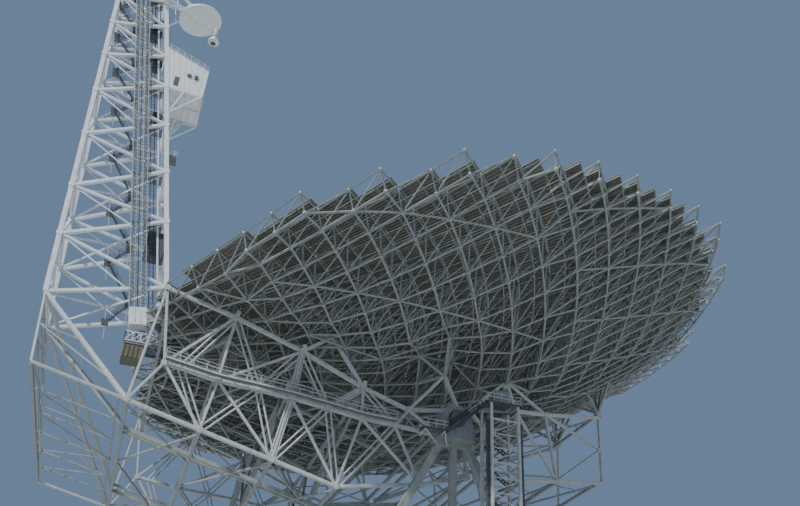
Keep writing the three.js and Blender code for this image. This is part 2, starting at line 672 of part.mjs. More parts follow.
const TOWER_LEVELS = [65.8, 76.3, 85.8, 96.9, 107.0, 116.0, 124.5, 132.5, 140.5];
const TOWER_INNER_LEVELS = [70.7, 83.1, 93.3, 103.6, 112.6, 120.0, 127.6, 134.6, 140.5];
const OUTER_SLOPE = 0.0568;     // how fast the outer chords lean away, going up
const INNER_SLOPE = 0.1799;     // the same for the inner chords
const TOWER_SLOPE = 0.0405;     // how fast each side draws in, going up
const outerX = (z) => -55.8 - (z - TOWER_LEVELS[0]) * OUTER_SLOPE;
const innerX = (z) => -40.1 - (z - TOWER_INNER_LEVELS[0]) * INNER_SLOPE;
const towerHalf = (z) => 5.6 - (z - TOWER_LEVELS[0]) * TOWER_SLOPE;
const TOWER_CHORD = 0.7;
const TOWER_BRACE = 0.42;

function towerSideMembers() {
  const normal = [0, 1, -TOWER_SLOPE];
  const outer = TOWER_LEVELS.map((z) => [outerX(z), -towerHalf(z), z]);
  const inner = TOWER_INNER_LEVELS.map((z) => [innerX(z), -towerHalf(z), z]);
  const members = [
    member(outer[0], outer[outer.length - 1], TOWER_CHORD, TOWER_CHORD, normal),
    member(inner[0], inner[inner.length - 1], TOWER_CHORD, TOWER_CHORD, normal),
  ];
  outer.forEach((point, i) => {
    members.push(member(point, inner[i], TOWER_BRACE + 0.08, TOWER_CHORD, normal));
    if (i) members.push(member(point, inner[i - 1], TOWER_BRACE, TOWER_CHORD, normal));
  });
  return members;
}

/** The bracing between the chords on one x side of the tower. */
function towerEndMembers(chordX, chordLevels, slope) {
  const normal = [1, 0, slope];
  const reach = (z) => towerHalf(z) - (TOWER_CHORD + TOWER_BRACE * TOWER_SLOPE) / 2 - 2 * GAP;
  const levels = [chordLevels[0] + 0.4, ...chordLevels.slice(1)];
  const members = [];
  levels.forEach((z, i) => {
    const x = chordX(z);
    members.push(member([x, -reach(z), z], [x, reach(z), z], TOWER_BRACE, TOWER_BRACE, normal));
    if (!i) return;
    const below = levels[i - 1];
    const side = i % 2 ? 1 : -1;
    members.push(member([chordX(below), side * (reach(below) - 0.5), below],
      [x, -side * (reach(z) - 0.5), z], TOWER_BRACE, TOWER_BRACE, normal));
  });
  return members;
}

const towerNear = towerSideMembers();
const towerFar = mirrored(towerNear);
const towerOuter = towerEndMembers(outerX, TOWER_LEVELS, OUTER_SLOPE);
const towerInner = towerEndMembers(innerX, TOWER_INNER_LEVELS, INNER_SLOPE);

function addTower() {
  addPair('tower_face', flatLattice(towerNear), whiteSteel);
  addPart('tower_face_outer', flatLattice(towerOuter), whiteSteel);
  addPart('tower_face_inner', flatLattice(towerInner), whiteSteel);
}

// Pedestal: it splays from the tower's foot to the side trusses and the elbow

function pedestalSideMembers() {
  const outerTop = [outerX(65.8), -towerHalf(65.8), 65.8];
  const outerFoot = [CHORD_C[0][0], -TRUSS_Y, CHORD_C[0][1]];
  const floorNode = [CHORD_C[1][0], -TRUSS_Y, CHORD_C[1][1]];
  const normal = [0, 0.6, 0.8];
  return [
    member(outerTop, outerFoot, 0.9, 0.9, normal),
    member(outerTop, floorNode, 0.7, 0.7, normal),
  ];
}

/** The cross bracing between the near and far lines of one x side of the pedestal. */
function pedestalEndMembers(top, foot) {
  const normal = [1, 0, 0];
  const fractions = [0.1, 0.36, 0.66, 0.93];
  const members = [];
  fractions.forEach((t, i) => {
    const [x, y, z] = lerp(top, foot, t);
    const half = -y - 0.75;
    members.push(member([x, -half, z], [x, half, z], 0.5, 0.5, normal));
    if (!i) return;
    const [px, py, pz] = lerp(top, foot, fractions[i - 1]);
    members.push(member([px, 0, pz], [x, -half + 0.9, z], 0.42, 0.42, normal));
    members.push(member([px, 0, pz], [x, half - 0.9, z], 0.42, 0.42, normal));
  });
  return members;
}

const pedestalNear = pedestalSideMembers();
const pedestalFar = mirrored(pedestalNear);
const pedestalOuter = pedestalEndMembers([outerX(65.8), -towerHalf(65.8), 65.8],
  [CHORD_C[0][0], -TRUSS_Y, CHORD_C[0][1]]);

/** The inner side of the pedestal: its two legs and the cross bracing between them. */
function pedestalInnerMembers() {
  const top = [innerX(70.7), -towerHalf(70.7), 70.7];
  const foot = [CHORD_A[0][0], -TRUSS_Y, CHORD_A[0][1]];
  const leg = member(top, foot, 0.9, 0.9, [0, 0.6, 0.8]);
  return [...pedestalEndMembers(top, foot), leg, ...mirrored([leg])];
}

const pedestalInner = pedestalInnerMembers();

function addPedestal() {
  addPair('pedestal', clearOf(joined(pedestalNear), [...sideTrussNear, ...towerNear, ...floorMembers]),
    whiteSteel);
  const sides = [...pedestalNear, ...pedestalFar];
  addPart('pedestal_outer', clearOf(joined(pedestalOuter), sides), whiteSteel);
  addPart('pedestal_inner', clearOf(joined(pedestalInner),
    [...sideTrussNear, ...sideTrussFar, ...towerNear, ...towerFar, ...towerInner]), whiteSteel);
}

// Head of the feed arm: receiver room, subreflector on its frame and prime-focus boom

const SUBREFLECTOR = { x: -45.1, z: 135.6, radius: 4, depth: 1.1, back: 0.35, tilt: -15 };

function addReceiverRoom() {
  const back = (z) => innerX(z) + TOWER_CHORD / 2 + 3 * GAP;
  addPart('receiver_room', plate([[back(112.3), 112.3], [-41.5, 112.3], [-41.4, 118.9],
    [back(121.9), 121.9]], -4.1, 4.1), cabinWhite);
}

/** The subreflector: a shallow dish that faces down to the receiver room. */
function addSubreflector() {
  const { x, z, radius, depth, back, tilt } = SUBREFLECTOR;
  const profile = [];
  const steps = 3;
  for (let i = 0; i <= steps; i += 1) {
    const r = radius * i / steps;
    profile.push([r, depth * (1 - (r / radius) ** 2)]);
  }
  for (let i = steps; i >= 0; i -= 1) {
    const r = radius * i / steps;
    profile.push([r, depth * (1 - (r / radius) ** 2) + back]);
  }
  const dish = new THREE.LatheGeometry(
    profile.map(([r, h]) => new THREE.Vector2(r * METRE, h * METRE)), 20);
  dish.rotateX(Math.PI / 2);
  dish.rotateY(THREE.MathUtils.degToRad(tilt));
  dish.translate(x * METRE, 0, z * METRE);
  addPart('subreflector', dish, cabinWhite);
}

/** The frame that holds the subreflector by its back, off the tower's inner chords. */
function addHeadFrame() {
  const { x, z, depth, back, tilt } = SUBREFLECTOR;
  const angle = THREE.MathUtils.degToRad(tilt);
  const axis = [Math.sin(angle), 0, Math.cos(angle)];
  const seat = stepped([x, 0, z], axis, depth + back + GAP);
  const top = stepped(seat, axis, 1.0);
  const members = [member(seat, top, 1.8, 1.8)];
  for (const side of [-1, 1]) {
    const upper = [innerX(139.6), side * (towerHalf(139.6) - 0.2), 139.6];
    const lower = [innerX(134), side * (towerHalf(134) - 0.2), 134];
    const hub = [top[0], side * 0.6, top[2] - 0.4];
    members.push(member(hub, upper, 0.5), member(hub, lower, 0.5));
  }
  addPart('head_frame', clearOf(joined(members), [...towerNear, ...towerFar, ...towerInner]), whiteSteel);
}

// Prime-focus boom on the near face, with the receiver can at its end
const BOOM_Y = -4.5;
const BOOM_ROOT = [-52.6, 134.36];
const BOOM_TIP = [-42.0, 129.0];
const BRACKET_LEVEL = 133.75;
const BRACKET = 0.8;
const RECEIVER_CAN = { x: -41.8, top: 129.3, bottom: 125.8, radius: 0.9 };

function addPrimeFocusBoom() {
  const at = ([x, z]) => [x, BOOM_Y, z];
  const { x, top, bottom, radius } = RECEIVER_CAN;
  const wall = -towerHalf(BRACKET_LEVEL) - (TOWER_CHORD + BRACKET * TOWER_SLOPE) / 2 - 2 * GAP;
  const bracketX = innerX(BRACKET_LEVEL);
  const members = [
    member(at(BOOM_ROOT), at(BOOM_TIP), 0.9, 0.9),
    member([bracketX, BOOM_Y, BRACKET_LEVEL], [bracketX, wall, BRACKET_LEVEL], BRACKET, BRACKET, [0, 0, 1]),
  ];
  const can = solidOf(drum(radius, top - bottom, [x, BOOM_Y, (top + bottom) / 2], 'z', 16));
  const flange = solidOf(drum(radius + 0.35, 0.35, [x, BOOM_Y, bottom + 0.5], 'z', 16));
  addPart('prime_focus_boom', joined(members).add(can).add(flange), cabinWhite);
}

// Lift on the near face of the feed arm: mast, car and landing
const MAST = { offset: 4.2, width: 2.0, rail: 0.3, standoff: 0.75, bottom: 58.5, top: 139.4, rungs: 13 };
const LIFT_CAR = { width: 2.4, depth: 1.9, height: 2.9, bottom: 61.8, clearance: 0.006 };
const LANDING = { left: 1.9, right: 4.4, front: 2.9, back: 0.6, thickness: 0.35 };
const mastX = (z) => innerX(z) - MAST.offset;
const mastY = (z) => -towerHalf(z) - MAST.standoff;
const MAST_NORMAL = [0, 1, -TOWER_SLOPE];

function mastMembers() {
  const { width, rail, bottom, top, rungs } = MAST;
  const members = [];
  for (const side of [-1, 1]) {
    members.push(member([mastX(bottom) + side * width / 2, mastY(bottom), bottom],
      [mastX(top) + side * width / 2, mastY(top), top], rail, rail, MAST_NORMAL));
  }
  for (let i = 0; i <= rungs; i += 1) {
    const z = bottom + 0.4 + (top - bottom - 0.8) * i / rungs;
    members.push(member([mastX(z) - width / 2, mastY(z), z], [mastX(z) + width / 2, mastY(z), z],
      rail, rail, MAST_NORMAL));
  }
  return members;
}

/** Heights at which the tower's sloping cross members pass behind the mast. */
function bracketLevels() {
  return TOWER_LEVELS.slice(1, -1).map((outerZ, i) => {
    const innerZ = TOWER_INNER_LEVELS[i + 1];
    const span = innerX(innerZ) - outerX(outerZ);
    return innerZ + (outerZ - innerZ) * MAST.offset / span;
  });
}

function addLift() {
  const { rail, bottom, width } = MAST;
  const mast = flatLattice(mastMembers());
  const brackets = [];
  for (const z of bracketLevels()) {
    for (const side of [-1, 1]) {
      const x = mastX(z) + side * (width / 2 - 0.02);
      const wall = -towerHalf(z) - TOWER_CHORD / 2 - 4 * GAP;
      brackets.push(member([x, mastY(z), z], [x, wall, z], 0.24, 0.24, [0, 0, 1]));
    }
  }
  addPart('lift_mast', mast.add(clearOf(joined(brackets), towerNear)), greySteel);
  const carTop = LIFT_CAR.bottom + LIFT_CAR.height;
  const out = rail / 2 + LIFT_CAR.clearance + LIFT_CAR.depth / 2;
  const carPoint = (z) => [mastX(z), mastY(z) - out, z - out * TOWER_SLOPE];
  addPart('lift_car', joined([member(carPoint(LIFT_CAR.bottom), carPoint(carTop), LIFT_CAR.width,
    LIFT_CAR.depth, MAST_NORMAL)]), cabinWhite);
  const deckTop = bottom - rail / 2 * (INNER_SLOPE + TOWER_SLOPE) - GAP;
  const [x, y] = [mastX(bottom), mastY(bottom)];
  addPart('lift_landing', block([x - LANDING.left, y - LANDING.front, deckTop - LANDING.thickness],
    [x + LANDING.right, y + LANDING.back, deckTop]), greySteel);
}

function addHead() {
  addReceiverRoom();
  addSubreflector();
  addHeadFrame();
  addPrimeFocusBoom();
}

// Walkway outside the near side truss, along its middle chord
const WALKWAY = { width: 0.8, thickness: 0.25 };

function addWalkway() {
  const y = -TRUSS_Y - TRUSS_DEPTH / 2 - GAP - WALKWAY.width / 2;
  const points = CHORD_B.slice(0, 7).map(([x, z]) => [x, y, z + 0.3]);
  addPart('walkway_near', joined(chain(points, WALKWAY.thickness, WALKWAY.width)), greySteel);
}

// Reflector surface and its back-up structure share one grid

const COLUMNS = [13.5, 28, 43.5, 59, 74.5, 88.5, 99.8];
const ROWS = 4;
const halfChord = (x) => RIM_HALF_WIDTH * Math.sqrt(1 - ((x - RIM_CENTRE) / RIM_HALF_LENGTH) ** 2);
const sine = Math.sin(TILT);
const cosine = Math.cos(TILT);

/** A point of the paraboloid, `below` it along the paraboloid's axis. */
function dishPoint(x, y, below = 0) {
  const dx = x - AXIS_TO_VERTEX_X;
  const dz = (x * x + y * y) / FOUR_FOCAL + AXIS_TO_VERTEX_Z - below;
  return [dx * cosine + dz * sine, y, -dx * sine + dz * cosine + AXIS_HEIGHT];
}

/** A closed shell over a block of grid cells, with its edges drawn in by the seam. */
function shellZone(columnFrom, columnTo, rowFrom, rowTo) {
  const across = columnTo - columnFrom + 1;
  const along = rowTo - rowFrom + 1;
  const seam = GAP / 2;
  const corners = [];
  for (let layer = 0; layer < 2; layer += 1) {
    for (let i = 0; i < across; i += 1) {
      for (let j = 0; j < along; j += 1) {
        const edgeX = (i === 0 ? seam : 0) - (i === across - 1 ? seam : 0);
        const edgeY = (j === 0 ? seam : 0) - (j === along - 1 ? seam : 0);
        const x = COLUMNS[columnFrom + i] + edgeX;
        const y = halfChord(COLUMNS[columnFrom + i]) * (2 * (rowFrom + j) / ROWS - 1) + edgeY;
        corners.push(...dishPoint(x, y, layer * SHELL_THICKNESS).map((value) => value * METRE));
      }
    }
  }
  const index = [];
  const at = (layer, i, j) => layer * across * along + i * along + j;
  const quad = (a, b, c, d) => index.push(a, b, c, a, c, d);
  for (let i = 0; i < across - 1; i += 1) {
    for (let j = 0; j < along - 1; j += 1) {
      quad(at(0, i, j), at(0, i + 1, j), at(0, i + 1, j + 1), at(0, i, j + 1));
      quad(at(1, i, j), at(1, i, j + 1), at(1, i + 1, j + 1), at(1, i + 1, j));
    }
  }
  for (let i = 0; i < across - 1; i += 1) {
    quad(at(0, i, 0), at(1, i, 0), at(1, i + 1, 0), at(0, i + 1, 0));
    quad(at(0, i + 1, along - 1), at(1, i + 1, along - 1), at(1, i, along - 1), at(0, i, along - 1));
  }
  for (let j = 0; j < along - 1; j += 1) {
    quad(at(0, 0, j + 1), at(1, 0, j + 1), at(1, 0, j), at(0, 0, j));
    quad(at(0, across - 1, j), at(1, across - 1, j), at(1, across - 1, j + 1), at(0, across - 1, j + 1));
  }
  const shell = new THREE.BufferGeometry();
  shell.setAttribute('position', new THREE.BufferAttribute(new Float32Array(corners), 3));
  shell.setIndex(index);
  shell.computeVertexNormals();
  return shell;
}

function addReflector() {
  const columnSplits = [['left', 0, 2], ['middle', 2, 4], ['right', 4, 6]];
  const rowSplits = [['near', 0, ROWS / 2], ['far', ROWS / 2, ROWS]];
  for (const [columnName, c0, c1] of columnSplits) {
    for (const [rowName, r0, r1] of rowSplits) {
      addPart(`reflector_${rowName}_${columnName}`, shellZone(c0, c1, r0, r1), panelAluminium);
    }
  }
}

// Back-up structure: a space frame of pyramids below the surface

const FRAME_STRUT = 0.4;
const FRAME_JOINT = 1.4;      // gusseted joint where the struts meet

// Places along x with the depth of the frame on its middle line there
const FRAME_DEPTHS = [[-42, 2.3], [-30, 2.9], [-21, 4.3], [-12, 6.6], [0, 8], [28, 8.2], [40, 6.6],
  [52, 3.8]];

/** How far the lower nodes hang below the surface, at a place along x and a row from -1 to 1. */
function frameDepth(x, row) {
  const next = FRAME_DEPTHS.findIndex(([place]) => place >= x);
  const [x0, d0] = FRAME_DEPTHS[Math.max(next - 1, 0)];
  const [x1, d1] = FRAME_DEPTHS[Math.max(next, 1)];
  const depth = d0 + (d1 - d0) * (x - x0) / (x1 - x0);
  return Math.abs(row) > 0.6 ? Math.max(3.4, depth * 0.62) : depth * (1 - 0.4 * row * row);
}

const AXIS_CLEARANCE = 11.6;  // back-up structure outside the A-frames stays this far from the axis

/** The upward normal of the paraboloid in world axes. */
function dishNormal(x, y) {
  const normal = new THREE.Vector3(-2 * x / FOUR_FOCAL, -2 * y / FOUR_FOCAL, 1).normalize();
  return [normal.x * cosine + normal.z * sine, normal.y, -normal.x * sine + normal.z * cosine];
}

/** Steps from a point along a direction. */
const stepped = (point, direction, distance) => point.map((value, i) => value + direction[i] * distance);

function frameGrid() {
  const upper = COLUMNS.map((x) => {
    const row = [];
    for (let j = 0; j <= ROWS; j += 1) {
      const y = halfChord(x) * (2 * j / ROWS - 1);
      const normal = dishNormal(x, y);
      const seat = stepped(dishPoint(x, y, SHELL_THICKNESS), normal, -GAP);
      row.push({ point: stepped(seat, normal, -FRAME_JOINT / 2), normal });
    }
    return row;
  });
  const lower = COLUMNS.slice(1).map((x1, i) => {
    const x = (COLUMNS[i] + x1) / 2;
    const row = [];
    for (let j = 0; j < ROWS; j += 1) {
      const v = 2 * (j + 0.5) / ROWS - 1;
      const y = halfChord(x) * v;
      const place = dishPoint(x, y);
      const point = dishPoint(x, y, frameDepth(place[0], v));
      if (Math.abs(y) > 20) {
        const lowest = AXIS_HEIGHT + Math.sqrt(Math.max(0, AXIS_CLEARANCE ** 2 - point[0] ** 2));
        point[2] = Math.max(point[2], lowest);
      }
      row.push({ point, normal: dishNormal(x, y) });
    }
    return row;
  });
  return { upper, lower };
}

/** The four quarters of the back-up structure: near and far, left and right. */
function frameQuarters() {
  const { upper, lower } = frameGrid();
  const midColumn = 3;
  const midRow = ROWS / 2;
  const quarters = [[], [], [], []];
  const quarterOf = (i, j, isUpper) => {
    const right = isUpper ? i > midColumn : i >= midColumn;
    const far = isUpper ? j > midRow : j >= midRow;
    return (right ? 2 : 0) + (far ? 1 : 0);
  };
  const join = (a, qa, b, qb) =>
    quarters[Math.min(qa, qb)].push(strut(a.point, b.point, FRAME_STRUT));
  const joint = ({ point, normal }, q) => quarters[q].push(member(
    stepped(point, normal, -FRAME_JOINT / 2), stepped(point, normal, FRAME_JOINT / 2),
    FRAME_JOINT, FRAME_JOINT, [0, 1, 0]));
  lower.forEach((line, i) => line.forEach((node, j) => {
    const q = quarterOf(i, j, false);
    joint(node, q);
    for (const [di, dj] of [[0, 0], [0, 1], [1, 0], [1, 1]]) {
      join(node, q, upper[i + di][j + dj], quarterOf(i + di, j + dj, true));
    }
    if (j + 1 < ROWS) join(node, q, line[j + 1], quarterOf(i, j + 1, false));
  }));
  const last = upper.length - 1;
  upper.forEach((line, i) => line.forEach((node, j) => {
    const q = quarterOf(i, j, true);
    joint(node, q);
    if (i < last && (j === 0 || j === ROWS)) join(node, q, upper[i + 1][j], quarterOf(i + 1, j, true));
    if (j < ROWS && (i === 0 || i === last)) join(node, q, line[j + 1], quarterOf(i, j + 1, true));
  }));
  addFeet(quarters, lower, quarterOf);
  return quarters;
}

/** Legs from the seats on the trusses up to the nearest lower nodes of the same quarter. */
function addFeet(quarters, lower, quarterOf) {
  const seats = [
    [SUPPORT_LEG[0], TRUSS_Y, SUPPORT_LEG[1]],
    [YOKE_TOP[0], TRUSS_Y, YOKE_TOP[1]],
    [REAR_PEAK[0], taperY(REAR_PEAK[0]), REAR_PEAK[1]],
    [REAR_TOP[3][0], taperY(REAR_TOP[3][0]), REAR_TOP[3][1] + 0.9],
  ];
  for (const side of [-1, 1]) {
    for (const [x, y, z] of seats) {
      const foot = [x, side * y, z + GAP];
      const head = [x, side * y, z + 0.9];
      const nodes = [];
      lower.forEach((line, i) => line.forEach(({ point }, j) => {
        const reach = vector(point).distanceTo(vector(head));
        const far = side > 0;
        const q = quarterOf(i, j, false);
        if ((q % 2 === 1) === far && reach > 1.2) nodes.push({ point, reach, q });
      }));
      nodes.sort((a, b) => a.reach - b.reach);
      const q = nodes[0].q;
      quarters[q].push(member(foot, head, 1.0, 1.0, [0, 1, 0]));
      for (const node of nodes.filter((n) => n.q === q).slice(0, 3)) {
        quarters[q].push(strut(head, node.point, 0.7));
      }
    }
  }
}

function addBackStructure() {
  const names = ['back_frame_near_left', 'back_frame_far_left', 'back_frame_near_right',
    'back_frame_far_right'];
  const quarters = frameQuarters();
  const trusses = [...sideTrussNear, ...sideTrussFar, ...rearTrussNear, ...rearTrussFar,
    ...roofMembers, ...rearRoofMembers, ...pedestalNear, ...pedestalFar, ...pedestalInner];
  quarters.forEach((members, q) => {
    const neighbours = quarters.slice(q + 1).flat();
    addPart(names[q], clearOf(joined(members), [...trusses, ...neighbours]), whiteSteel);
  });
}

addGroundWorks();
addBase();
addTrucks();
addAFrames();
addEndFrames();
addBearings();
addLiftTower();
addElevationDrive();
addSideTrusses();
addRearTrusses();
addCrossFrames();
addElevationWheel();
addTower();
addPedestal();
addHead();
addLift();
addWalkway();
addReflector();
addBackStructure();

export default telescope;
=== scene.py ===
"""Dressed model of a fully steerable radio telescope, a 1:10 scale model.

Sizes are written in metres of the real telescope and become metres of the model in one
place, METRE. +X points from the feed arm to the far rim of the dish, +Y to its far side
and +Z up, and the origin is on the azimuth axis at ground level.
"""

from __future__ import annotations

import logging
import math
from dataclasses import dataclass, field
from enum import Enum
from typing import Callable, Sequence

import bpy
import numpy as np
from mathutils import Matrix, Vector

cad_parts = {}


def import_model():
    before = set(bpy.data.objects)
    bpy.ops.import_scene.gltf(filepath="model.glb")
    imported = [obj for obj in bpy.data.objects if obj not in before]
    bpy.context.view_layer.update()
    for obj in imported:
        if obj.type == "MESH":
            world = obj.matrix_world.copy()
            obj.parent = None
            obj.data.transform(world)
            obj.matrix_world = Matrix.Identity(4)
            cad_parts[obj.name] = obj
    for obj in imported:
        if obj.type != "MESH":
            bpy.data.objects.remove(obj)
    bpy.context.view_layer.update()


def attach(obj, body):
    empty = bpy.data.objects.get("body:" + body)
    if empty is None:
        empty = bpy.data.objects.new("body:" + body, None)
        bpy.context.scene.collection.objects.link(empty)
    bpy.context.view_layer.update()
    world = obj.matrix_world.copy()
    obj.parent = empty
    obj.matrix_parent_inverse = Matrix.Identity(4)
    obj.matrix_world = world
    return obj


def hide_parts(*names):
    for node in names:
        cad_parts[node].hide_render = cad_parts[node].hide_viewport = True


LOG = logging.getLogger("telescope")
METRE = 0.1  # metres of the model for a metre of the telescope
SMOOTH_BELOW_DEG = 31.0  # edges sharper than this stay crisp; a round of 12 or more sides is smooth

Array = np.ndarray
Point = tuple[float, float, float]
Tree = bpy.types.NodeTree
Socket = bpy.types.NodeSocket

ORIGIN: Point = (0.0, 0.0, 0.0)
ALONG: Point = (1.0, 0.0, 0.0)
ACROSS: Point = (0.0, 1.0, 0.0)
UP: Point = (0.0, 0.0, 1.0)


class Body(Enum):
    """The moving bodies that the pieces ride on."""

    GROUND = "ground_works"
    ALIDADE = "alidade"
    TIPPING = "tipping_structure"
    LIFT = "feed_arm_lift_car"


class Pattern(Enum):
    """How a finish varies over its surface."""

    PAINTED_STEEL = "painted steel"
    SHEET = "sheet metal"
    GRATING = "open grating"
    CONCRETE = "cast concrete"
    ROLLED = "rolled steel"
    RUBBER = "rubber"
    GLASS = "tinted glass"
    FLOOR = "studio floor"


def linear(hex_colour: str) -> tuple[float, float, float, float]:
    """Turns an sRGB hex colour into linear values.

    Args:
        hex_colour: six hex digits, with or without a leading hash.

    Returns:
        Red, green, blue and alpha in linear light.
    """
    digits = hex_colour.lstrip("#")
    parts = [int(digits[i:i + 2], 16) / 255 for i in (0, 2, 4)]
    bent = [p / 12.92 if p <= 0.04045 else ((p + 0.055) / 1.055) ** 2.4 for p in parts]
    return (bent[0], bent[1], bent[2], 1.0)


def add_node(tree: Tree, kind: str, links: dict | None = None,
             **settings) -> bpy.types.Node:
    """Adds a shader node with its settings and its input values or links.

    Args:
        tree: the node tree of a material or a world.
        kind: the node's type name.
        links: input name or number to a value or to another node's output.
        settings: attributes of the node itself.

    Returns:
        The new node.
    """
    node = tree.nodes.new(kind)
    for name, value in settings.items():
        setattr(node, name, value)
    for key, value in (links or {}).items():
        socket = node.inputs[key]
        if isinstance(value, Socket):
            tree.links.new(value, socket)
        else:
            socket.default_value = value
    return node


def ramp(tree: Tree, factor: Socket,
         stops: list[tuple[float, str]]) -> Socket:
    """Adds a colour ramp.

    Args:
        tree: the node tree.
        factor: the value that picks the colour.
        stops: positions with their sRGB colours.

    Returns:
        The colour output.
    """
    node = add_node(tree, "ShaderNodeValToRGB", {"Fac": factor})
    elements = node.color_ramp.elements
    while len(elements) < len(stops):
        elements.new(1.0)
    for element, (position, colour) in zip(elements, stops):
        element.position = position
        element.color = linear(colour)
    return node.outputs["Color"]


def remap(tree: Tree, value: Socket, span: tuple[float, float],
          to: tuple[float, float]) -> Socket:
    """Adds a node that maps one span of values to another, and returns its output."""
    links = {"Value": value, "From Min": span[0], "From Max": span[1], "To Min": to[0], "To Max": to[1]}
    return add_node(tree, "ShaderNodeMapRange", links).outputs["Result"]


def blend(tree: Tree, factor: Socket, first: Socket,
          second: str) -> Socket:
    """Adds a node that mixes a colour with a second, fixed one, and returns its output."""
    links = {"Factor": factor, 6: first, 7: linear(second)}
    return add_node(tree, "ShaderNodeMix", links, data_type="RGBA").outputs[2]


# Where the stain's noise starts to show on a pattern, and where it is full.
STAIN_SPANS = {Pattern.PAINTED_STEEL: (0.56, 0.80), Pattern.CONCRETE: (0.45, 0.85),
               Pattern.SHEET: (0.58, 0.90)}
OTHER_STAIN_SPAN = (0.62, 0.95)


@dataclass(frozen=True)
class Finish:
    """One real finish: what it is made of, its colours and how rough it is."""

    name: str
    slot: str
    pattern: Pattern
    colour: str
    second: str
    stain: str
    roughness: float
    metallic: float = 0.0
    grain_mm: float = 60.0
    bump: float = 0.15

    def material(self) -> bpy.types.Material:
        """Builds the material once and returns it afterwards."""
        return bpy.data.materials.get(self.name) or self._make()

    def _noise(self, tree: Tree, place: Socket, finer: float, detail: float,
               **inputs: float) -> bpy.types.Node:
        """Adds a noise, `finer` times as fine as the patches of `grain_mm`."""
        links = {"Vector": place, "Scale": 1000.0 / self.grain_mm * finer, "Detail": detail, **inputs}
        return add_node(tree, "ShaderNodeTexNoise", links)

    def _make(self) -> bpy.types.Material:
        """Wires the node tree of the finish.

        The colour drifts between two shades over patches of `grain_mm` on the model, a
        stretched noise lays vertical runs of the stain on it, and a fine noise gives the bump.

        Returns:
            The new material.
        """
        material = bpy.data.materials.new(self.name)
        material.use_nodes = True
        tree = material.node_tree
        tree.nodes.clear()
        out = add_node(tree, "ShaderNodeOutputMaterial")
        place = add_node(tree, "ShaderNodeTexCoord").outputs["Object"]
        patches = self._noise(tree, place, 1.0, 5.0, Roughness=0.6).outputs["Fac"]
        base = ramp(tree, patches, [(0.32, self.colour), (0.72, self.second)])
        stretched = add_node(tree, "ShaderNodeMapping", {"Vector": place, "Scale": (1.0, 1.0, 0.14)})
        runs = self._noise(tree, stretched.outputs["Vector"], 1.9, 4.0).outputs["Fac"]
        amount = remap(tree, runs, STAIN_SPANS.get(self.pattern, OTHER_STAIN_SPAN), (0.0, 0.65))
        colour = blend(tree, amount, base, self.stain)
        fine = self._noise(tree, place, 9.0, 3.0)
        if self.pattern is Pattern.GRATING:
            colour, fine = self._grating(tree, place, colour)
        wear = remap(tree, patches, (0.0, 1.0),
                     (max(self.roughness - 0.1, 0.05), min(self.roughness + 0.12, 1.0)))
        relief = add_node(tree, "ShaderNodeBump",
                          {"Height": fine.outputs["Fac"], "Strength": self.bump, "Distance": 0.004})
        shader = add_node(tree, "ShaderNodeBsdfPrincipled",
                          {"Base Color": colour, "Metallic": self.metallic, "Roughness": wear,
                           "Normal": relief.outputs["Normal"]})
        if self.pattern is Pattern.GLASS:
            shader.inputs["Coat Weight"].default_value = 0.6
        tree.links.new(shader.outputs["BSDF"], out.inputs["Surface"])
        return material

    @staticmethod
    def _grating(tree: Tree, place: Socket,
                 colour: Socket) -> tuple[Socket, bpy.types.Node]:
        """Paints the open cells of a grating near-black: painted shade seen through them.

        The wave repeats every 2 pi / (20 scale) m of the model, which is 196 mm on the real
        telescope: some six times as coarse as real bar grating, so that the bars show.

        Args:
            tree: the material's nodes.
            place: the coordinates.
            colour: of the bars.

        Returns:
            The colour and the node whose Fac output is the bars' height.
        """
        bars = add_node(tree, "ShaderNodeTexWave", {"Vector": place, "Scale": 16.0, "Distortion": 0.0},
                        wave_type="BANDS", bands_direction="X")
        cells = remap(tree, bars.outputs["Fac"], (0.35, 0.6), (0.75, 0.0))
        # The open cells get a near-black colour as painted shade.
        return blend(tree, cells, colour, "#1c1e20"), bars


# Alkyd-painted structural steel: chalky white film with faint rain runs and rust at the laps.
WHITE_STEEL = Finish("painted_structural_steel", "white_steel", Pattern.PAINTED_STEEL,
                     "#d9dedf", "#c3cacd", "#8f8f86", 0.50, grain_mm=55.0)
# The same paint on the back-up frame, darkened to mid grey as painted shade of the steel in shadow under
# the surface, with real stains.
FRAME_STEEL_PAINTED_SHADE = Finish("stained_paint_darkened_as_shade", "white_steel", Pattern.PAINTED_STEEL,
                     "#949892", "#7e837f", "#63625a", 0.58, grain_mm=70.0)
# The same paint on trusses and A-frames: greyer than the tower as painted shade, with rust at the laps.
TRUSS_STEEL_PAINTED_SHADE = Finish("rusty_paint_greyed_as_shade", "white_steel", Pattern.PAINTED_STEEL,
                     "#b7bab6", "#a0a4a1", "#74726a", 0.52, grain_mm=60.0)
# Zinc-grey machinery enamel on trucks, drives, bearings and ballast.
GREY_STEEL = Finish("machinery_enamel", "grey_steel", Pattern.PAINTED_STEEL,
                    "#868d90", "#6f7679", "#4c4a45", 0.50, grain_mm=45.0)
# Hot-dip galvanised steel gone dark: cabinets, motors, shaft columns, panel studs.
DARK_STEEL = Finish("weathered_galvanised_steel", "grey_steel", Pattern.SHEET,
                    "#565c5d", "#414748", "#2f3130", 0.60, metallic=0.35, grain_mm=30.0)
# Sheet steel of the lift pit, ochre brown.
PIT_STEEL = Finish("brown_pit_sheet", "grey_steel", Pattern.SHEET,
                   "#66644f", "#575542", "#3d3b2e", 0.66, grain_mm=60.0)
# Galvanised stair flights, darkened as painted shade of the tower's inside.
STAIR_STEEL = Finish("galvanised_flights_darkened_as_shade", "grey_steel", Pattern.SHEET,
                     "#6c7374", "#585e5f", "#3d4041", 0.60, metallic=0.3, grain_mm=30.0)
# Hot-dip galvanised mast sections, still pale: fine spangle, no gloss.
MAST_STEEL = Finish("galvanised_mast_steel", "grey_steel", Pattern.SHEET,
                    "#a3a9aa", "#8b9293", "#5a5e5f", 0.50, metallic=0.25, grain_mm=25.0)
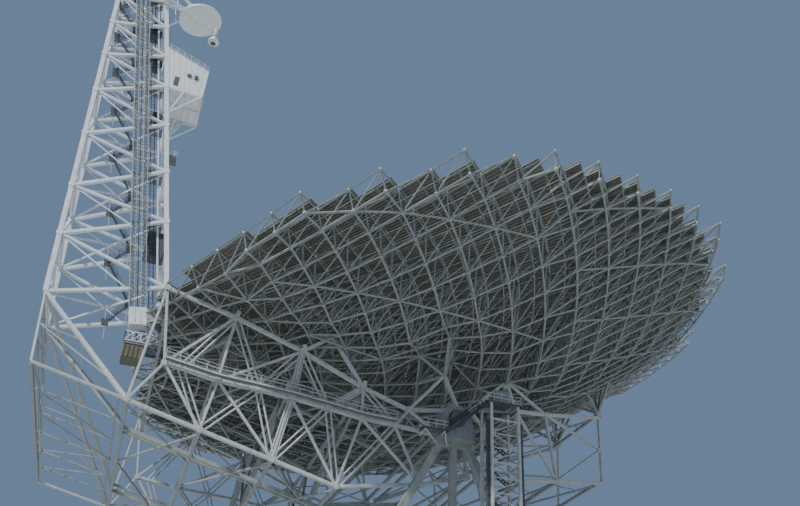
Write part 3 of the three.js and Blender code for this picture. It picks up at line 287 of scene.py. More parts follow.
# Stove-white painted aluminium sheet, the reflecting side.
PANEL_FACE = Finish("painted_aluminium_sheet", "panel_aluminium", Pattern.SHEET,
                    "#e4e6e3", "#d6d9d6", "#b4b5ae", 0.42, metallic=0.0, grain_mm=90.0, bump=0.05)
# Mill-finish aluminium backs of the panels, grey brown and darker than the metal as painted shade under the
# dish.
PANEL_BACK = Finish("mill_aluminium_backing_darkened_as_shade", "panel_aluminium", Pattern.SHEET,
                    "#838376", "#717166", "#55544b", 0.62, metallic=0.1, grain_mm=80.0)
# Coated cladding sheet of the cabins.
CLADDING = Finish("coated_cladding_sheet", "cabin_white", Pattern.SHEET,
                  "#dfe1dd", "#cfd2ce", "#a6a59c", 0.48, grain_mm=60.0, bump=0.08)
# Bar grating of the walkways: open cells painted near-black as painted shade seen through them, between
# zinc-grey bars.
GRATING = Finish("galvanised_bar_grating_with_shaded_cells", "grey_steel", Pattern.GRATING,
                 "#8b9193", "#777e80", "#4a4b49", 0.55, metallic=0.4, grain_mm=40.0)
# Cast concrete, board-marked, with damp stains at the foot.
CONCRETE = Finish("board_marked_concrete", "concrete", Pattern.CONCRETE,
                  "#b3aea3", "#9d988c", "#7b766b", 0.88, grain_mm=120.0, bump=0.5)
# Rolled rail steel, bright on the running surface.
RAIL_STEEL = Finish("rolled_rail_steel", "rail_steel", Pattern.ROLLED,
                    "#7c7a77", "#63605d", "#4b3a30", 0.38, metallic=0.85, grain_mm=35.0)
# Neoprene jackets of the signal and power cables.
CABLE_RUBBER = Finish("neoprene_jacket", "grey_steel", Pattern.RUBBER,
                      "#202224", "#2b2d2f", "#17181a", 0.65, grain_mm=20.0)
# Float glass of the cabin windows, near-black as painted shade of the unlit room behind it.
WINDOW = Finish("float_glass_darkened_as_room_shade", "cabin_white", Pattern.GLASS,
                "#1f2a31", "#26333b", "#11181c", 0.12, grain_mm=200.0, bump=0.0)


def box_outline(width: float, depth: float, chamfer: float = 0.05) -> Array:
    """The outline of a box section with its corners cut.

    Eight points run counter-clockwise round a rectangle of width by depth.

    Args:
        width: across the member.
        depth: along its normal.
        chamfer: of the corners, at most a fifth of a side.

    Returns:
        The eight points.
    """
    a, b = width / 2, depth / 2
    c = min(chamfer, a * 0.4, b * 0.4)
    half = [(a, -b + c), (a, b - c), (a - c, b), (-a + c, b)]
    return np.array(half + [(-x, -y) for x, y in half])


def flat_outline(width: float, depth: float) -> Array:
    """The outline of a bar with sharp edges: the four corners of a rectangle."""
    a, b = width / 2, depth / 2
    return np.array([(a, -b), (a, b), (-a, b), (-a, -b)])


def round_outline(radius: float, sides: int = 6) -> Array:
    """The outline of a tube: equally spaced points on a circle."""
    angle = 2 * math.pi * (np.arange(sides) + 0.5) / sides
    return radius * np.stack([np.cos(angle), np.sin(angle)], axis=1)


def flanged_outline(width: float, depth: float, flange: float = 0.07, web: float = 0.06) -> Array:
    """The outline of a flanged beam: two flanges with a web between them.

    Args:
        width: of the flanges.
        depth: of the whole beam.
        flange: thickness of a flange.
        web: thickness of the web.

    Returns:
        The twelve points, counter-clockwise.
    """
    a, b, f, w = width / 2, depth / 2, flange, web / 2
    half = [(a, -b), (a, -b + f), (w, -b + f), (w, b - f), (a, b - f), (a, b)]
    return np.array(half + [(-x, y) for x, y in reversed(half)])


def unit(vectors: Array) -> Array:
    """Vectors divided by their lengths."""
    return vectors / np.maximum(np.linalg.norm(vectors, axis=-1, keepdims=True), 1e-9)


@dataclass
class Steelwork:
    """Collects the faces of many members, then makes one mesh of them."""

    points: list[Array] = field(default_factory=list)
    faces: list[tuple[Array, int]] = field(default_factory=list)
    finishes: list[Finish] = field(default_factory=list)
    count: int = 0
    current: int = 0

    def use(self, finish: Finish) -> Steelwork:
        """Gives the faces that are added from here on a finish.

        Args:
            finish: the finish.

        Returns:
            This collection.
        """
        if finish not in self.finishes:
            self.finishes.append(finish)
        self.current = self.finishes.index(finish)
        return self

    def add(self, points: Array, *faces: Array) -> None:
        """Adds points with their faces.

        Args:
            points: the points, with a last axis of three.
            faces: arrays of corners, which count from the first of the points.
        """
        flat = points.reshape(-1, 3)
        for corners in faces:
            self.faces.append((corners.reshape(-1, corners.shape[-1]) + self.count, self.current))
        self.points.append(flat)
        self.count += len(flat)

    def prisms(self, starts: Array, ends: Array, outline: Array, normal: Array | Point = ACROSS) -> None:
        """Carries an outline along each of many straight members.

        P(t, k) = start + t (end - start) + a_k side + b_k face, for t of 0 and 1, where side
        is normal x along and face is along x side.

        Args:
            starts: first ends, one row each.
            ends: second ends.
            outline: counter-clockwise points (a, b) across the member.
            normal: the direction that the outline's b axis leans to.
        """
        starts = np.atleast_2d(np.asarray(starts, float))
        ends = np.atleast_2d(np.asarray(ends, float))
        if not len(starts):
            return
        along = unit(ends - starts)
        wanted = unit(np.broadcast_to(np.asarray(normal, float), starts.shape).copy())
        wanted[np.abs((along * wanted).sum(1)) > 0.98] = ALONG
        side = unit(np.cross(wanted, along))
        face = np.cross(along, side)
        ring = outline[None, :, :1] * side[:, None] + outline[None, :, 1:] * face[:, None]
        grid = np.stack([starts[:, None] + ring, ends[:, None] + ring], axis=1)
        size = len(outline)
        at = np.arange(size)
        after = (at + 1) % size
        base = (np.arange(len(starts)) * 2 * size)[:, None, None]
        sides = np.stack([at, after, after + size, at + size], axis=1)
        caps = np.stack([at[::-1], at + size])
        self.add(grid, base + sides[None], base + caps[None])

    def bars(self, starts: Array, ends: Array, width: float, depth: float, chamfer: float = 0.0,
             normal: Array | Point = ACROSS) -> None:
        """Members of box section; `depth` lies along the normal."""
        self.prisms(starts, ends, box_outline(width, depth, chamfer), normal)

    def rods(self, starts: Array, ends: Array, radius: float, sides: int = 6) -> None:
        """Round members between pairs of points."""
        self.prisms(starts, ends, round_outline(radius, sides))

    def chain(self, points: Array, outline: Array, normal: Array | Point = ACROSS) -> None:
        """Members along a line of points."""
        points = np.asarray(points, float)
        self.prisms(points[:-1], points[1:], outline, normal)

    def block(self, low: Point, high: Point, chamfer: float = 0.05) -> None:
        """A box with its upright edges cut.

        Args:
            low: the corner with the least x, y and z.
            high: the opposite corner.
            chamfer: of the upright edges.
        """
        low, high = np.asarray(low, float), np.asarray(high, float)
        middle = (low + high) / 2
        size = high - low
        self.bars([middle[0], middle[1], low[2]], [middle[0], middle[1], high[2]], size[1], size[0],
                  chamfer, ALONG)

    def plate(self, outline: Array, y0: float, y1: float) -> None:
        """A flat outline in the x-z plane with a thickness in y: two caps and a wall.

        Args:
            outline: points (x, z), counter-clockwise seen from -y.
            y0: the near face.
            y1: the far face.
        """
        at = np.arange(len(outline))
        after = (at + 1) % len(outline)
        near = np.stack([outline[:, 0], np.full(len(at), y0), outline[:, 1]], axis=1)
        walls = np.stack([after, at, at + len(at), after + len(at)], axis=1)
        self.add(np.concatenate([near, near + [0, y1 - y0, 0]]), walls, at[None],
                 at[None, ::-1] + len(at))

    def drum(self, centre: Array | Point, axis: Array | Point, radius: float, length: float,
             sides: int = 24) -> None:
        """A closed cylinder, half its length to each side of the centre."""
        half = unit(np.asarray(axis, float)) * length / 2
        self.rods(centre - half, centre + half, radius, sides)

    def lathe(self, profile: Array, centre: Array | Point, axis: Array | Point = UP,
              sides: int = 48) -> None:
        """Turns a closed profile about an axis.

        P(k, j) = centre + r_k (cos a_j u + sin a_j v) + h_k axis, with a_j = 2 pi j / sides.

        Args:
            profile: closed outline of (radius, height), counter-clockwise in that plane.
            centre: a point of the axis.
            axis: its direction.
            sides: steps round the circle.
        """
        profile = np.asarray(profile, float)
        axis = unit(np.asarray(axis, float))
        helper = np.array([1.0, 0.0, 0.0]) if abs(axis[0]) < 0.9 else np.array([0.0, 1.0, 0.0])
        u = unit(np.cross(helper, axis))
        v = np.cross(axis, u)
        angle = 2 * math.pi * np.arange(sides) / sides
        spoke = np.cos(angle)[:, None] * u + np.sin(angle)[:, None] * v
        grid = (np.asarray(centre, float) + profile[:, 0, None, None] * spoke[None]
                + profile[:, 1, None, None] * axis)
        rows, columns = np.arange(len(profile)), np.arange(sides)
        k, j = [g.ravel() for g in np.meshgrid(rows, columns, indexing="ij")]
        k2, j2 = (k + 1) % len(profile), (j + 1) % sides
        quads = np.stack([k * sides + j, k * sides + j2, k2 * sides + j2, k2 * sides + j], axis=1)
        self.add(grid, quads)

    def mesh(self, name: str) -> bpy.types.Mesh:
        """Puts the collected faces into a mesh.

        Args:
            name: the mesh's name.

        Returns:
            The mesh, in metres of the model.
        """
        mesh = bpy.data.meshes.new(name)
        points = np.concatenate(self.points) * METRE
        corners = np.concatenate([f.ravel() for f, _ in self.faces]).astype(np.int32)
        sizes = np.concatenate([np.full(len(f), f.shape[1]) for f, _ in self.faces])
        slots = np.concatenate([np.full(len(f), slot) for f, slot in self.faces])
        mesh.vertices.add(len(points))
        mesh.vertices.foreach_set("co", points.astype(np.float32).ravel())
        mesh.loops.add(len(corners))
        mesh.loops.foreach_set("vertex_index", corners)
        mesh.polygons.add(len(sizes))
        mesh.polygons.foreach_set("loop_start", (np.cumsum(sizes) - sizes).astype(np.int32))
        mesh.polygons.foreach_set("material_index", slots.astype(np.int32))
        mesh.update(calc_edges=True)
        mesh.validate()
        mesh.set_sharp_from_angle(angle=math.radians(SMOOTH_BELOW_DEG))
        for finish in self.finishes:
            mesh.materials.append(finish.material())
        return mesh

    def piece(self, name: str, *replaced: str, body: Body = Body.TIPPING) -> None:
        """Makes the finished piece, which rides on a body and may stand for CAD nodes.

        Args:
            name: the piece's name.
            replaced: CAD nodes that it stands for.
            body: the body that it rides on.
        """
        obj = bpy.data.objects.new(name, self.mesh(name))
        bpy.context.scene.collection.objects.link(obj)
        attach(obj, body.value)
        if replaced:
            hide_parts(*replaced)
        obj.data.calc_loop_triangles()
        LOG.info("%s: %d triangles", name, len(obj.data.loop_triangles))


@dataclass(frozen=True)
class Bar:
    """One straight member of a lattice, with its section."""

    start: Point
    end: Point
    width: float
    depth: float
    normal: Point = ACROSS

    def mirrored(self) -> Bar:
        """The same member on the other side of the plane y = 0."""
        flip = [(x, -y, z) for x, y, z in (self.start, self.end, self.normal)]
        return Bar(flip[0], flip[1], self.width, self.depth, flip[2])


def path_bars(points: list[Point], width: float, depth: float, normal: Point = ACROSS) -> list[Bar]:
    """Members along a list of points."""
    return [Bar(a, b, width, depth, normal) for a, b in zip(points, points[1:])]


def pair_bars(pairs: list[tuple[Point, Point]], width: float, depth: float,
              normal: Point = ACROSS) -> list[Bar]:
    """Members between pairs of points."""
    return [Bar(a, b, width, depth, normal) for a, b in pairs]


def mirrored(bars: list[Bar]) -> list[Bar]:
    """The same members on the other side of the plane y = 0."""
    return [bar.mirrored() for bar in bars]


def lerp(a: Point, b: Point, t: float) -> Point:
    """The point at the share t of the way from a to b."""
    return tuple(p + (q - p) * t for p, q in zip(a, b))


def along_line(a: Array | Point, b: Array | Point, shares: Array) -> Array:
    """The points at several shares of the way from a to b, one row each."""
    return np.asarray(a, float) * (1 - shares[:, None]) + np.asarray(b, float) * shares[:, None]


def middles(count: int) -> Array:
    """The middles of `count` equal parts of the span from 0 to 1."""
    return (np.arange(count) + 0.5) / count


def upright(point: tuple[float, float], y: float) -> Point:
    """A point of the x-z plane, moved across to y."""
    return (point[0], y, point[1])


@dataclass
class Lattice:
    """A welded lattice: its members, and gusset plates where they meet."""

    bars: list[Bar]
    finish: Finish = TRUSS_STEEL_PAINTED_SHADE
    gusset: float = 0.5
    slim: float = 0.60
    chamfer: float = 0.05
    plate: float = 0.06  # how far a gusset plate stands off the member's face
    bite: float = 0.02  # and how far it goes into it
    core: float = 0.7  # radius of the plate between the two, as a share of theirs

    def piece(self, name: str, node: str, body: Body = Body.TIPPING) -> None:
        """Makes a piece of this lattice alone, which stands for a CAD node."""
        self.lay(Steelwork()).piece(name, node, body=body)

    def lay(self, steel: Steelwork) -> Steelwork:
        """Adds the members and the gusset plates.

        A gusset is a pair of octagon plates on the two faces of the widest member at the
        node, with a radius of `gusset` times that member's width and a smaller one between.

        Args:
            steel: the collection that takes the faces.

        Returns:
            The same collection.
        """
        steel.use(self.finish)
        sizes = sorted({(b.width, b.depth, b.normal) for b in self.bars}, reverse=True)
        for order, (width, depth, normal) in enumerate(sizes):
            thinner = self.bite * order  # keeps the faces of crossing members out of one plane
            group = [b for b in self.bars if (b.width, b.depth, b.normal) == (width, depth, normal)]
            steel.bars([b.start for b in group], [b.end for b in group], width * self.slim,
                       depth * self.slim - thinner, self.chamfer, normal)
        if self.gusset:
            self._gussets(steel)
        return steel

    def _gussets(self, steel: Steelwork) -> None:
        """Adds a plate at each point where three or more members end.

        Args:
            steel: takes the faces.
        """
        nodes: dict[Point, list[Bar]] = {}
        for bar in self.bars:
            for end in (bar.start, bar.end):
                nodes.setdefault(tuple(round(v, 2) for v in end), []).append(bar)
        for point, bars in nodes.items():
            if len(bars) < 3:
                continue
            widest = max(bars, key=lambda b: b.width)
            normal = unit(np.asarray(widest.normal, float))
            face = widest.depth * self.slim / 2
            at = np.asarray(point, float)
            radius = self.gusset * widest.width
            for low, high in ((-face - self.plate, self.bite - face),
                              (face - self.bite, face + self.plate)):
                steel.prisms(at + normal * low, at + normal * high, round_outline(radius, 8), UP)
            steel.prisms(at - normal * face, at + normal * face, round_outline(radius * self.core, 8), UP)


def handrail(steel: Steelwork, line: Array, height: float = 1.1, spacing: float = 1.5,
             radius: float = 0.045) -> None:
    """A handrail along a line: posts, a top rail and a knee rail.

    Args:
        steel: takes the faces.
        line: the points of the deck's edge.
        height: of the top rail.
        spacing: between posts.
        radius: of the tubes.
    """
    line = np.asarray(line, float)
    up = np.array([0.0, 0.0, height])
    lengths = np.linalg.norm(np.diff(line, axis=0), axis=1)
    places = np.concatenate([[0.0], np.cumsum(lengths)])
    count = max(int(places[-1] / spacing), 1)
    at = np.linspace(0, places[-1], count + 1)
    feet = np.stack([np.interp(at, places, line[:, i]) for i in range(3)], axis=1)
    steel.rods(feet, feet + up, radius, 5)
    for share in (1.0, 0.52):
        steel.rods(line[:-1] + up * share, line[1:] + up * share, radius, 5)


def flight(steel: Steelwork, a: Point, b: Point, half: float, count: int, string: tuple[float, float],
           tread: tuple[float, float]) -> None:
    """A flight of stairs: two strings, and slats for treads at equal shares of it.

    Args:
        steel: takes the faces.
        a: the middle of the flight's foot.
        b: the middle of its head, at the same y.
        half: half its width.
        count: number of treads.
        string: width and depth of a string.
        tread: thickness and going of a tread.
    """
    side = np.array([0.0, half, 0.0])
    steel.bars([a - side, a + side], [b - side, b + side], *string)
    at = along_line(a, b, middles(count))
    steel.bars(at - side, at + side, *tread, normal=ALONG)


def ladder(steel: Steelwork, foot: Array, head: Array, width: float, normal: Array | Point,
           rung: float = 0.4, radius: float = 0.05) -> None:
    """A ladder: two stiles with rungs between them.

    Args:
        steel: takes the faces.
        foot: the middle of the ladder's foot.
        head: the middle of its head.
        width: between the stiles.
        normal: square to the ladder's plane.
        rung: spacing of the rungs.
        radius: of a stile.
    """
    across = unit(np.cross(normal, head - foot)) * width / 2
    steel.rods([foot - across, foot + across], [head - across, head + across], radius, 5)
    at = along_line(foot, head, middles(int(np.linalg.norm(head - foot) / rung)))
    steel.rods(at - across, at + across, radius * 0.7, 4)


@dataclass(frozen=True)
class Paraboloid:
    """The surface that the dish is cut from, tilted with the tipping structure."""

    four_focal: float = 276.9
    tilt_deg: float = 10.03
    axis_height: float = 47.75
    vertex_x: float = 54.4
    vertex_z: float = 4.9
    rim_centre: float = 54.9
    half_length: float = 45.9
    half_width: float = 53.0

    def turned(self, x: Array, y: Array, z: Array) -> Array:
        """Vectors from the dish's own frame to the telescope's, turned by the tilt."""
        c, s = math.cos(math.radians(self.tilt_deg)), math.sin(math.radians(self.tilt_deg))
        return np.stack([x * c + z * s, y + 0 * x, z * c - x * s], axis=-1)

    @staticmethod
    def flat(radius: Array, degrees: Array) -> tuple[Array, Array]:
        """The x and y of places given by radius and bearing."""
        return radius * np.cos(np.radians(degrees)), radius * np.sin(np.radians(degrees))

    def place(self, x: Array, y: Array, below: Array | float = 0.0) -> Array:
        """Points of the surface z = (x^2 + y^2) / 4f, lowered and turned by the tilt.

        Args:
            x: along the dish from the paraboloid's axis.
            y: across it.
            below: how far below the surface.

        Returns:
            The points in the telescope's frame, with a last axis of three.
        """
        x, y = np.asarray(x, float), np.asarray(y, float)
        height = (x * x + y * y) / self.four_focal + self.vertex_z - below
        return self.turned(x - self.vertex_x, y, height) + [0.0, 0.0, self.axis_height]

    def polar(self, radius: Array, degrees: Array, below: Array | float = 0.0) -> Array:
        """Points by their distance from the paraboloid's axis and their bearing."""
        return self.place(*self.flat(radius, degrees), below)

    def normal(self, radius: Array, degrees: Array) -> Array:
        """The upward normal at places of the surface: (-2x / 4f, -2y / 4f, 1), turned."""
        x, y = self.flat(radius, degrees)
        return unit(self.turned(-2 * x / self.four_focal, -2 * y / self.four_focal, np.ones_like(x)))

    def rim_share(self, radius: Array, degrees: Array) -> Array:
        """Below 1 inside the rim: ((x - centre) / a)^2 + (y / b)^2."""
        x, y = self.flat(radius, degrees)
        return ((x - self.rim_centre) / self.half_length) ** 2 + (y / self.half_width) ** 2

    def radius_at(self, arc: Array) -> Array:
        """The distance from the axis at a length along the surface's slope.

        The length is r/2 sqrt(1 + (r/2f)^2) + f asinh(r/2f), turned round by interpolation.

        Args:
            arc: lengths from the vertex.

        Returns:
            The distances.
        """
        half = self.four_focal / 2
        r = np.linspace(0, 130, 1301)
        return np.interp(arc, r / 2 * np.sqrt(1 + (r / half) ** 2) + half / 2 * np.arcsinh(r / half), r)


DISH = Paraboloid()


@dataclass
class HoopGrid:
    """Hoops and radial lines that both the panels and the back-up frame follow."""

    first_arc: float = 11.3
    bay: float = 4.76
    hoops: int = 22
    first_x: float = 12.6  # the surface ends on a straight line across at this distance
    wide_step: float = 15.0  # degrees between the frame's radial lines at the vertex
    halvings: tuple[int, ...] = (2, 6, 14)  # hoops from which the step is halved again

    def radius(self, hoop: Array | float) -> Array:
        """The radius of a hoop; a half number is halfway along a bay."""
        return DISH.radius_at(self.first_arc + self.bay * np.asarray(hoop, float))

    def step(self, hoop: int) -> float:
        """Degrees between radial lines at a hoop."""
        return self.wide_step / 2 ** sum(hoop >= h for h in self.halvings)


GRID = HoopGrid()


@dataclass
class SurfacePanels:
    """The reflecting panels, each with ribs below it, in six zones."""

    seam: float = 0.035
    skin: float = 0.06
    rib_depth: float = 0.26
    rib_width: float = 0.07
    ribs: tuple[float, ...] = (0.12, 0.38, 0.62, 0.88)
    column_splits: tuple[float, float] = (43.5, 74.5)
    rim_limit: float = 0.97

    def cells(self) -> Array:
        """Finds the panels: two rows to a bay of the hoops, and half a step wide.

        Returns:
            Inner and outer radius and first and last bearing of every panel.
        """
        rows = []
        for tier in range(2 * GRID.hoops + 4):
            inner, outer = GRID.radius(tier / 2), GRID.radius((tier + 1) / 2)
            step = GRID.step(tier // 2) / 2
            start = np.arange(-90, 90, step)
            middle = ((inner + outer) / 2, start + step / 2)
            inside = (DISH.rim_share(*middle) <= self.rim_limit) & (DISH.flat(*middle)[0] >= GRID.first_x)
            start = start[inside]
            rows.append(np.stack([0 * start + inner, 0 * start + outer, start, start + step], axis=1))
        return np.concatenate(rows)

    def lay(self, cells: Array) -> Steelwork:
        """Panels as closed slabs between four corners, with ribs that run radially.

        The corners are the surface at (r0, a0), (r1, a0), (r1, a1) and (r0, a1), drawn in by
        the seam, and the same points a skin's thickness below.

        Args:
            cells: rows of inner radius, outer radius, first and last bearing.

        Returns:
            The panels of one zone.
        """
        r0, r1 = cells[:, 0] + self.seam, cells[:, 1] - self.seam
        drawn = np.degrees(self.seam / np.maximum(cells[:, 0], 5))
        a0, a1 = cells[:, 2] + drawn, cells[:, 3] - drawn
        corners = [(r0, a0), (r1, a0), (r1, a1), (r0, a1)]
        top = np.stack([DISH.polar(r, a) for r, a in corners], axis=1)
        low = np.stack([DISH.polar(r, a, self.skin) for r, a in corners], axis=1)
        grid = np.stack([top, low], axis=1)
        base = (np.arange(len(cells)) * 8)[:, None, None]
        steel = Steelwork().use(PANEL_FACE)
        steel.add(grid, base + np.array([[0, 1, 2, 3]]))
        backs = base + np.array([[7, 6, 5, 4], [0, 4, 5, 1], [1, 5, 6, 2], [2, 6, 7, 3], [3, 7, 4, 0]])
        # The panel backs are darkened as painted shade.
        steel.faces.append((backs.reshape(-1, 4), steel.use(PANEL_BACK).current))
        middle = self.skin + self.rib_depth / 2
        for share in self.ribs:
            angle = a0 + (a1 - a0) * share
            steel.prisms(DISH.polar(r0 + 0.08, angle, middle), DISH.polar(r1 - 0.08, angle, middle),
                         flat_outline(self.rib_width, self.rib_depth), DISH.normal(r0, angle))
        return steel

    def build(self) -> None:
        """Makes the six zones."""
        cells = self.cells()
        x, y = DISH.flat((cells[:, 0] + cells[:, 1]) / 2, (cells[:, 2] + cells[:, 3]) / 2)
        low, high = self.column_splits
        columns = {"left": x < low, "middle": (x >= low) & (x < high), "right": x >= high}
        LOG.info("%d surface panels", len(cells))
        for side, row in (("near", y < 0), ("far", y >= 0)):
            for column, chosen in columns.items():
                steel = self.lay(cells[row & chosen])
                steel.piece(f"surface_panels_{side}_{column}", f"reflector_{side}_{column}")


@dataclass
class Ring:
    """The lower and upper joints of one hoop: places, normals, and which are in the frame."""

    low: Array
    low_normal: Array
    low_in: Array
    up: Array
    up_normal: Array
    up_in: Array


@dataclass
class BackUpFrame:
    """The space frame under the surface: hoop and radial trusses with shared joints."""

    upper_drop: float = 0.62
    edge_depth: float = 2.6
    least_depth: float = 2.2
    depth_rise: float = 14.0
    rise_from: float = 0.93  # share of the rim at which the frame starts to deepen
    axis_clearance: float = 11.8
    clearance_from: float = 19.0  # half width beyond which the A-frames need that clearance
    free_from: float = 24.0  # half width beyond which the trusses leave more depth
    free_slope: float = 0.22
    lower_radius: float = 0.15
    upper_radius: float = 0.105
    web_radius: float = 0.105
    leg_radius: float = 0.26
    low_node_half: float = 0.22
    low_node_radius: float = 0.30
    up_node_half: float = 0.18
    up_node_radius: float = 0.22
    stud_reach: float = 0.42  # how far the panels' adjusting studs stand above the upper joints
    stud_radius: float = 0.1
    legs_at_seat: int = 6
    quarter_split: float = 59.0
    lower_limit: float = 1.045
    upper_limit: float = 1.15
    far_reach: float = 0.06
    far_zone: tuple[float, float] = (88.0, 8.0)  # where the reach starts, and over what length
    middle_depths: tuple[tuple[float, float], ...] = (
        (-42, 2.3), (-30, 2.9), (-21, 4.3), (-12, 6.6), (0, 8.2), (28, 8.4), (40, 6.6), (52, 3.8))

    def depth(self, radius: Array, degrees: Array) -> Array:
        """How far the lower joints hang below the surface.

        It grows inwards from the rim as edge + rise (0.93 - share), is held to the depth that
        the trusses below leave free, and keeps clear of the A-frames outside them.

        Args:
            radius: distances from the paraboloid's axis.
            degrees: bearings.

        Returns:
            The depths.
        """
        share = np.sqrt(DISH.rim_share(radius, degrees))
        from_rim = self.edge_depth + self.depth_rise * np.maximum(self.rise_from - share, 0)
        surface = DISH.polar(radius, degrees)
        beside = np.maximum(np.abs(surface[..., 1]) - self.free_from, 0) * self.free_slope
        deep = np.minimum(from_rim, np.interp(surface[..., 0], *zip(*self.middle_depths)) + beside)
        x, y, z = np.moveaxis(DISH.polar(radius, degrees, deep), -1, 0)
        lowest = DISH.axis_height + np.sqrt(np.maximum(self.axis_clearance ** 2 - x ** 2, 0))
        short = np.where(np.abs(y) > self.clearance_from, np.maximum(lowest - z, 0), 0)
        return np.maximum(deep - short, self.least_depth)

    def joints(self) -> list[Ring]:
        """Finds the joints of every hoop, from the innermost outwards.

        Returns:
            One ring for each hoop.
        """
        rings = []
        start, length = self.far_zone
        for hoop in range(GRID.hoops):
            step, radius = GRID.step(hoop), float(GRID.radius(hoop))
            half = int(90 / step)
            low_at, up_at = step * (np.arange(-half, half) + 0.5), step * np.arange(-half, half + 1)
            low_r, up_r = np.full_like(low_at, radius), np.full_like(up_at, radius)
            reach = self.far_reach * min(max((radius - start) / length, 0), 1)
            low_in = ((DISH.rim_share(low_r, low_at) <= self.lower_limit + reach)
                      & (radius * np.cos(np.radians(low_at)) >= GRID.first_x - 1.5))
            near_low = np.concatenate([[False], low_in]) | np.concatenate([low_in, [False]])
            up_in = ((DISH.rim_share(up_r, up_at) <= self.upper_limit + reach) & near_low
                     & (radius * np.cos(np.radians(up_at)) >= GRID.first_x - 2.2))
            deep = self.depth(low_r, low_at)
            rings.append(Ring(DISH.polar(low_r, low_at, deep), DISH.normal(low_r, low_at), low_in,
                              DISH.polar(up_r, up_at, self.upper_drop), DISH.normal(up_r, up_at), up_in))
        return rings

    @staticmethod
    def members(rings: list[Ring]) -> dict[str, Array]:
        """All members by kind, as pairs of end points.

        Index m of the lower joints lies between m and m + 1 of the upper ones; where the step
        halves at the next hoop, m becomes 2 m and 2 m + 1 there.

        Args:
            rings: the joints of every hoop.

        Returns:
            The lower, the upper and the web members, as arrays of two points a row.
        """
        kinds: dict[str, list[Array]] = {"lower": [], "upper": [], "web": []}

        def join(kind: str, a: Array, a_in: Array, b: Array, b_in: Array) -> None:
            """Adds the members of a kind of which both ends are in the frame."""
            both = a_in & b_in
            kinds[kind].append(np.stack([a[both], b[both]], axis=1))

        for hoop, ring in enumerate(rings):
            low, low_in, up, up_in = ring.low, ring.low_in, ring.up, ring.up_in
            join("lower", low[:-1], low_in[:-1], low[1:], low_in[1:])
            join("upper", up[:-1], up_in[:-1], up[1:], up_in[1:])
            join("web", low, low_in, up[:-1], up_in[:-1])
            join("web", low, low_in, up[1:], up_in[1:])
            if hoop + 1 == len(rings):
                continue
            after = rings[hoop + 1]
            ratio = len(after.low) // len(low)
            m, n = np.arange(len(low)), np.arange(len(up))
            for t in range(ratio):
                join("lower", low, low_in, after.low[ratio * m + t], after.low_in[ratio * m + t])
            for t in range(ratio + 1):
                join("web", low, low_in, after.up[ratio * m + t], after.up_in[ratio * m + t])
            join("upper", up, up_in, after.up[ratio * n], after.up_in[ratio * n])
            if ratio == 1:
                # One diagonal in every fourth bay, in step from hoop to hoop.
                half = len(low) // 2
                row = half - 1 - np.minimum(m, len(low) - 1 - m)
                braced = (hoop + row) % 4 == 3
                inward = np.where(m < half, m + 1, m - 1)[braced]
                join("lower", low[braced], low_in[braced], after.low[inward], after.low_in[inward])
        return {kind: np.concatenate(pairs) for kind, pairs in kinds.items()}

    def legs(self, lows: Array) -> Array:
        """Members from each seat on the trusses to the nearest lower joints.

        Args:
            lows: the lower joints.

        Returns:
            Pairs of seat and joint.
        """
        pairs = []
        for side in (-1, 1):
            near = lows[(lows[:, 1] * side) > -1]
            for seat in SEATS * [1, side, 1]:
                reach = np.linalg.norm(near - seat, axis=1)
                pairs += [[seat, joint] for joint in near[np.argsort(reach)[:self.legs_at_seat]]]
        return np.array(pairs)

    def quarter(self, points: Array, far: int, right: int) -> Array:
        """Marks the points of one quarter of the frame."""
        split = DISH.place(self.quarter_split, 0.0)[0]
        return ((points[..., 1] >= 0) == far) & ((points[..., 0] >= split) == right)

    def build(self) -> None:
        """Makes the four quarters with their joints and the legs down to the trusses."""
        rings = self.joints()
        kinds = self.members(rings)
        lows = np.concatenate([r.low[r.low_in] for r in rings])
        low_up = np.concatenate([r.low_normal[r.low_in] for r in rings])
        ups = np.concatenate([r.up[r.up_in] for r in rings])
        out = np.concatenate([r.up_normal[r.up_in] for r in rings])
        kinds["leg"] = self.legs(lows)
        sections = {"lower": (self.lower_radius, 6), "upper": (self.upper_radius, 5),
                    "web": (self.web_radius, 5), "leg": (self.leg_radius, 8)}
        for far, side in enumerate(("near", "far")):
            for right, column in enumerate(("left", "right")):
                # The frame's steel is darkened as painted shade.
                steel = Steelwork().use(FRAME_STEEL_PAINTED_SHADE)
                for kind, section in sections.items():
                    pairs = kinds[kind][self.quarter(kinds[kind].mean(axis=1), far, right)]
                    steel.rods(pairs[:, 0], pairs[:, 1], *section)
                at = self.quarter(lows, far, right)
                half = low_up[at] * self.low_node_half
                steel.rods(lows[at] - half, lows[at] + half, self.low_node_radius, 8)
                at = self.quarter(ups, far, right)
                half, stud = out[at] * self.up_node_half, out[at] * self.stud_reach
                steel.rods(ups[at] - half, ups[at] + half, self.up_node_radius, 6)
                steel.use(DARK_STEEL).rods(ups[at] + half, ups[at] + stud, self.stud_radius, 5)
                steel.piece(f"back_up_frame_{side}_{column}", f"back_frame_{side}_{column}")


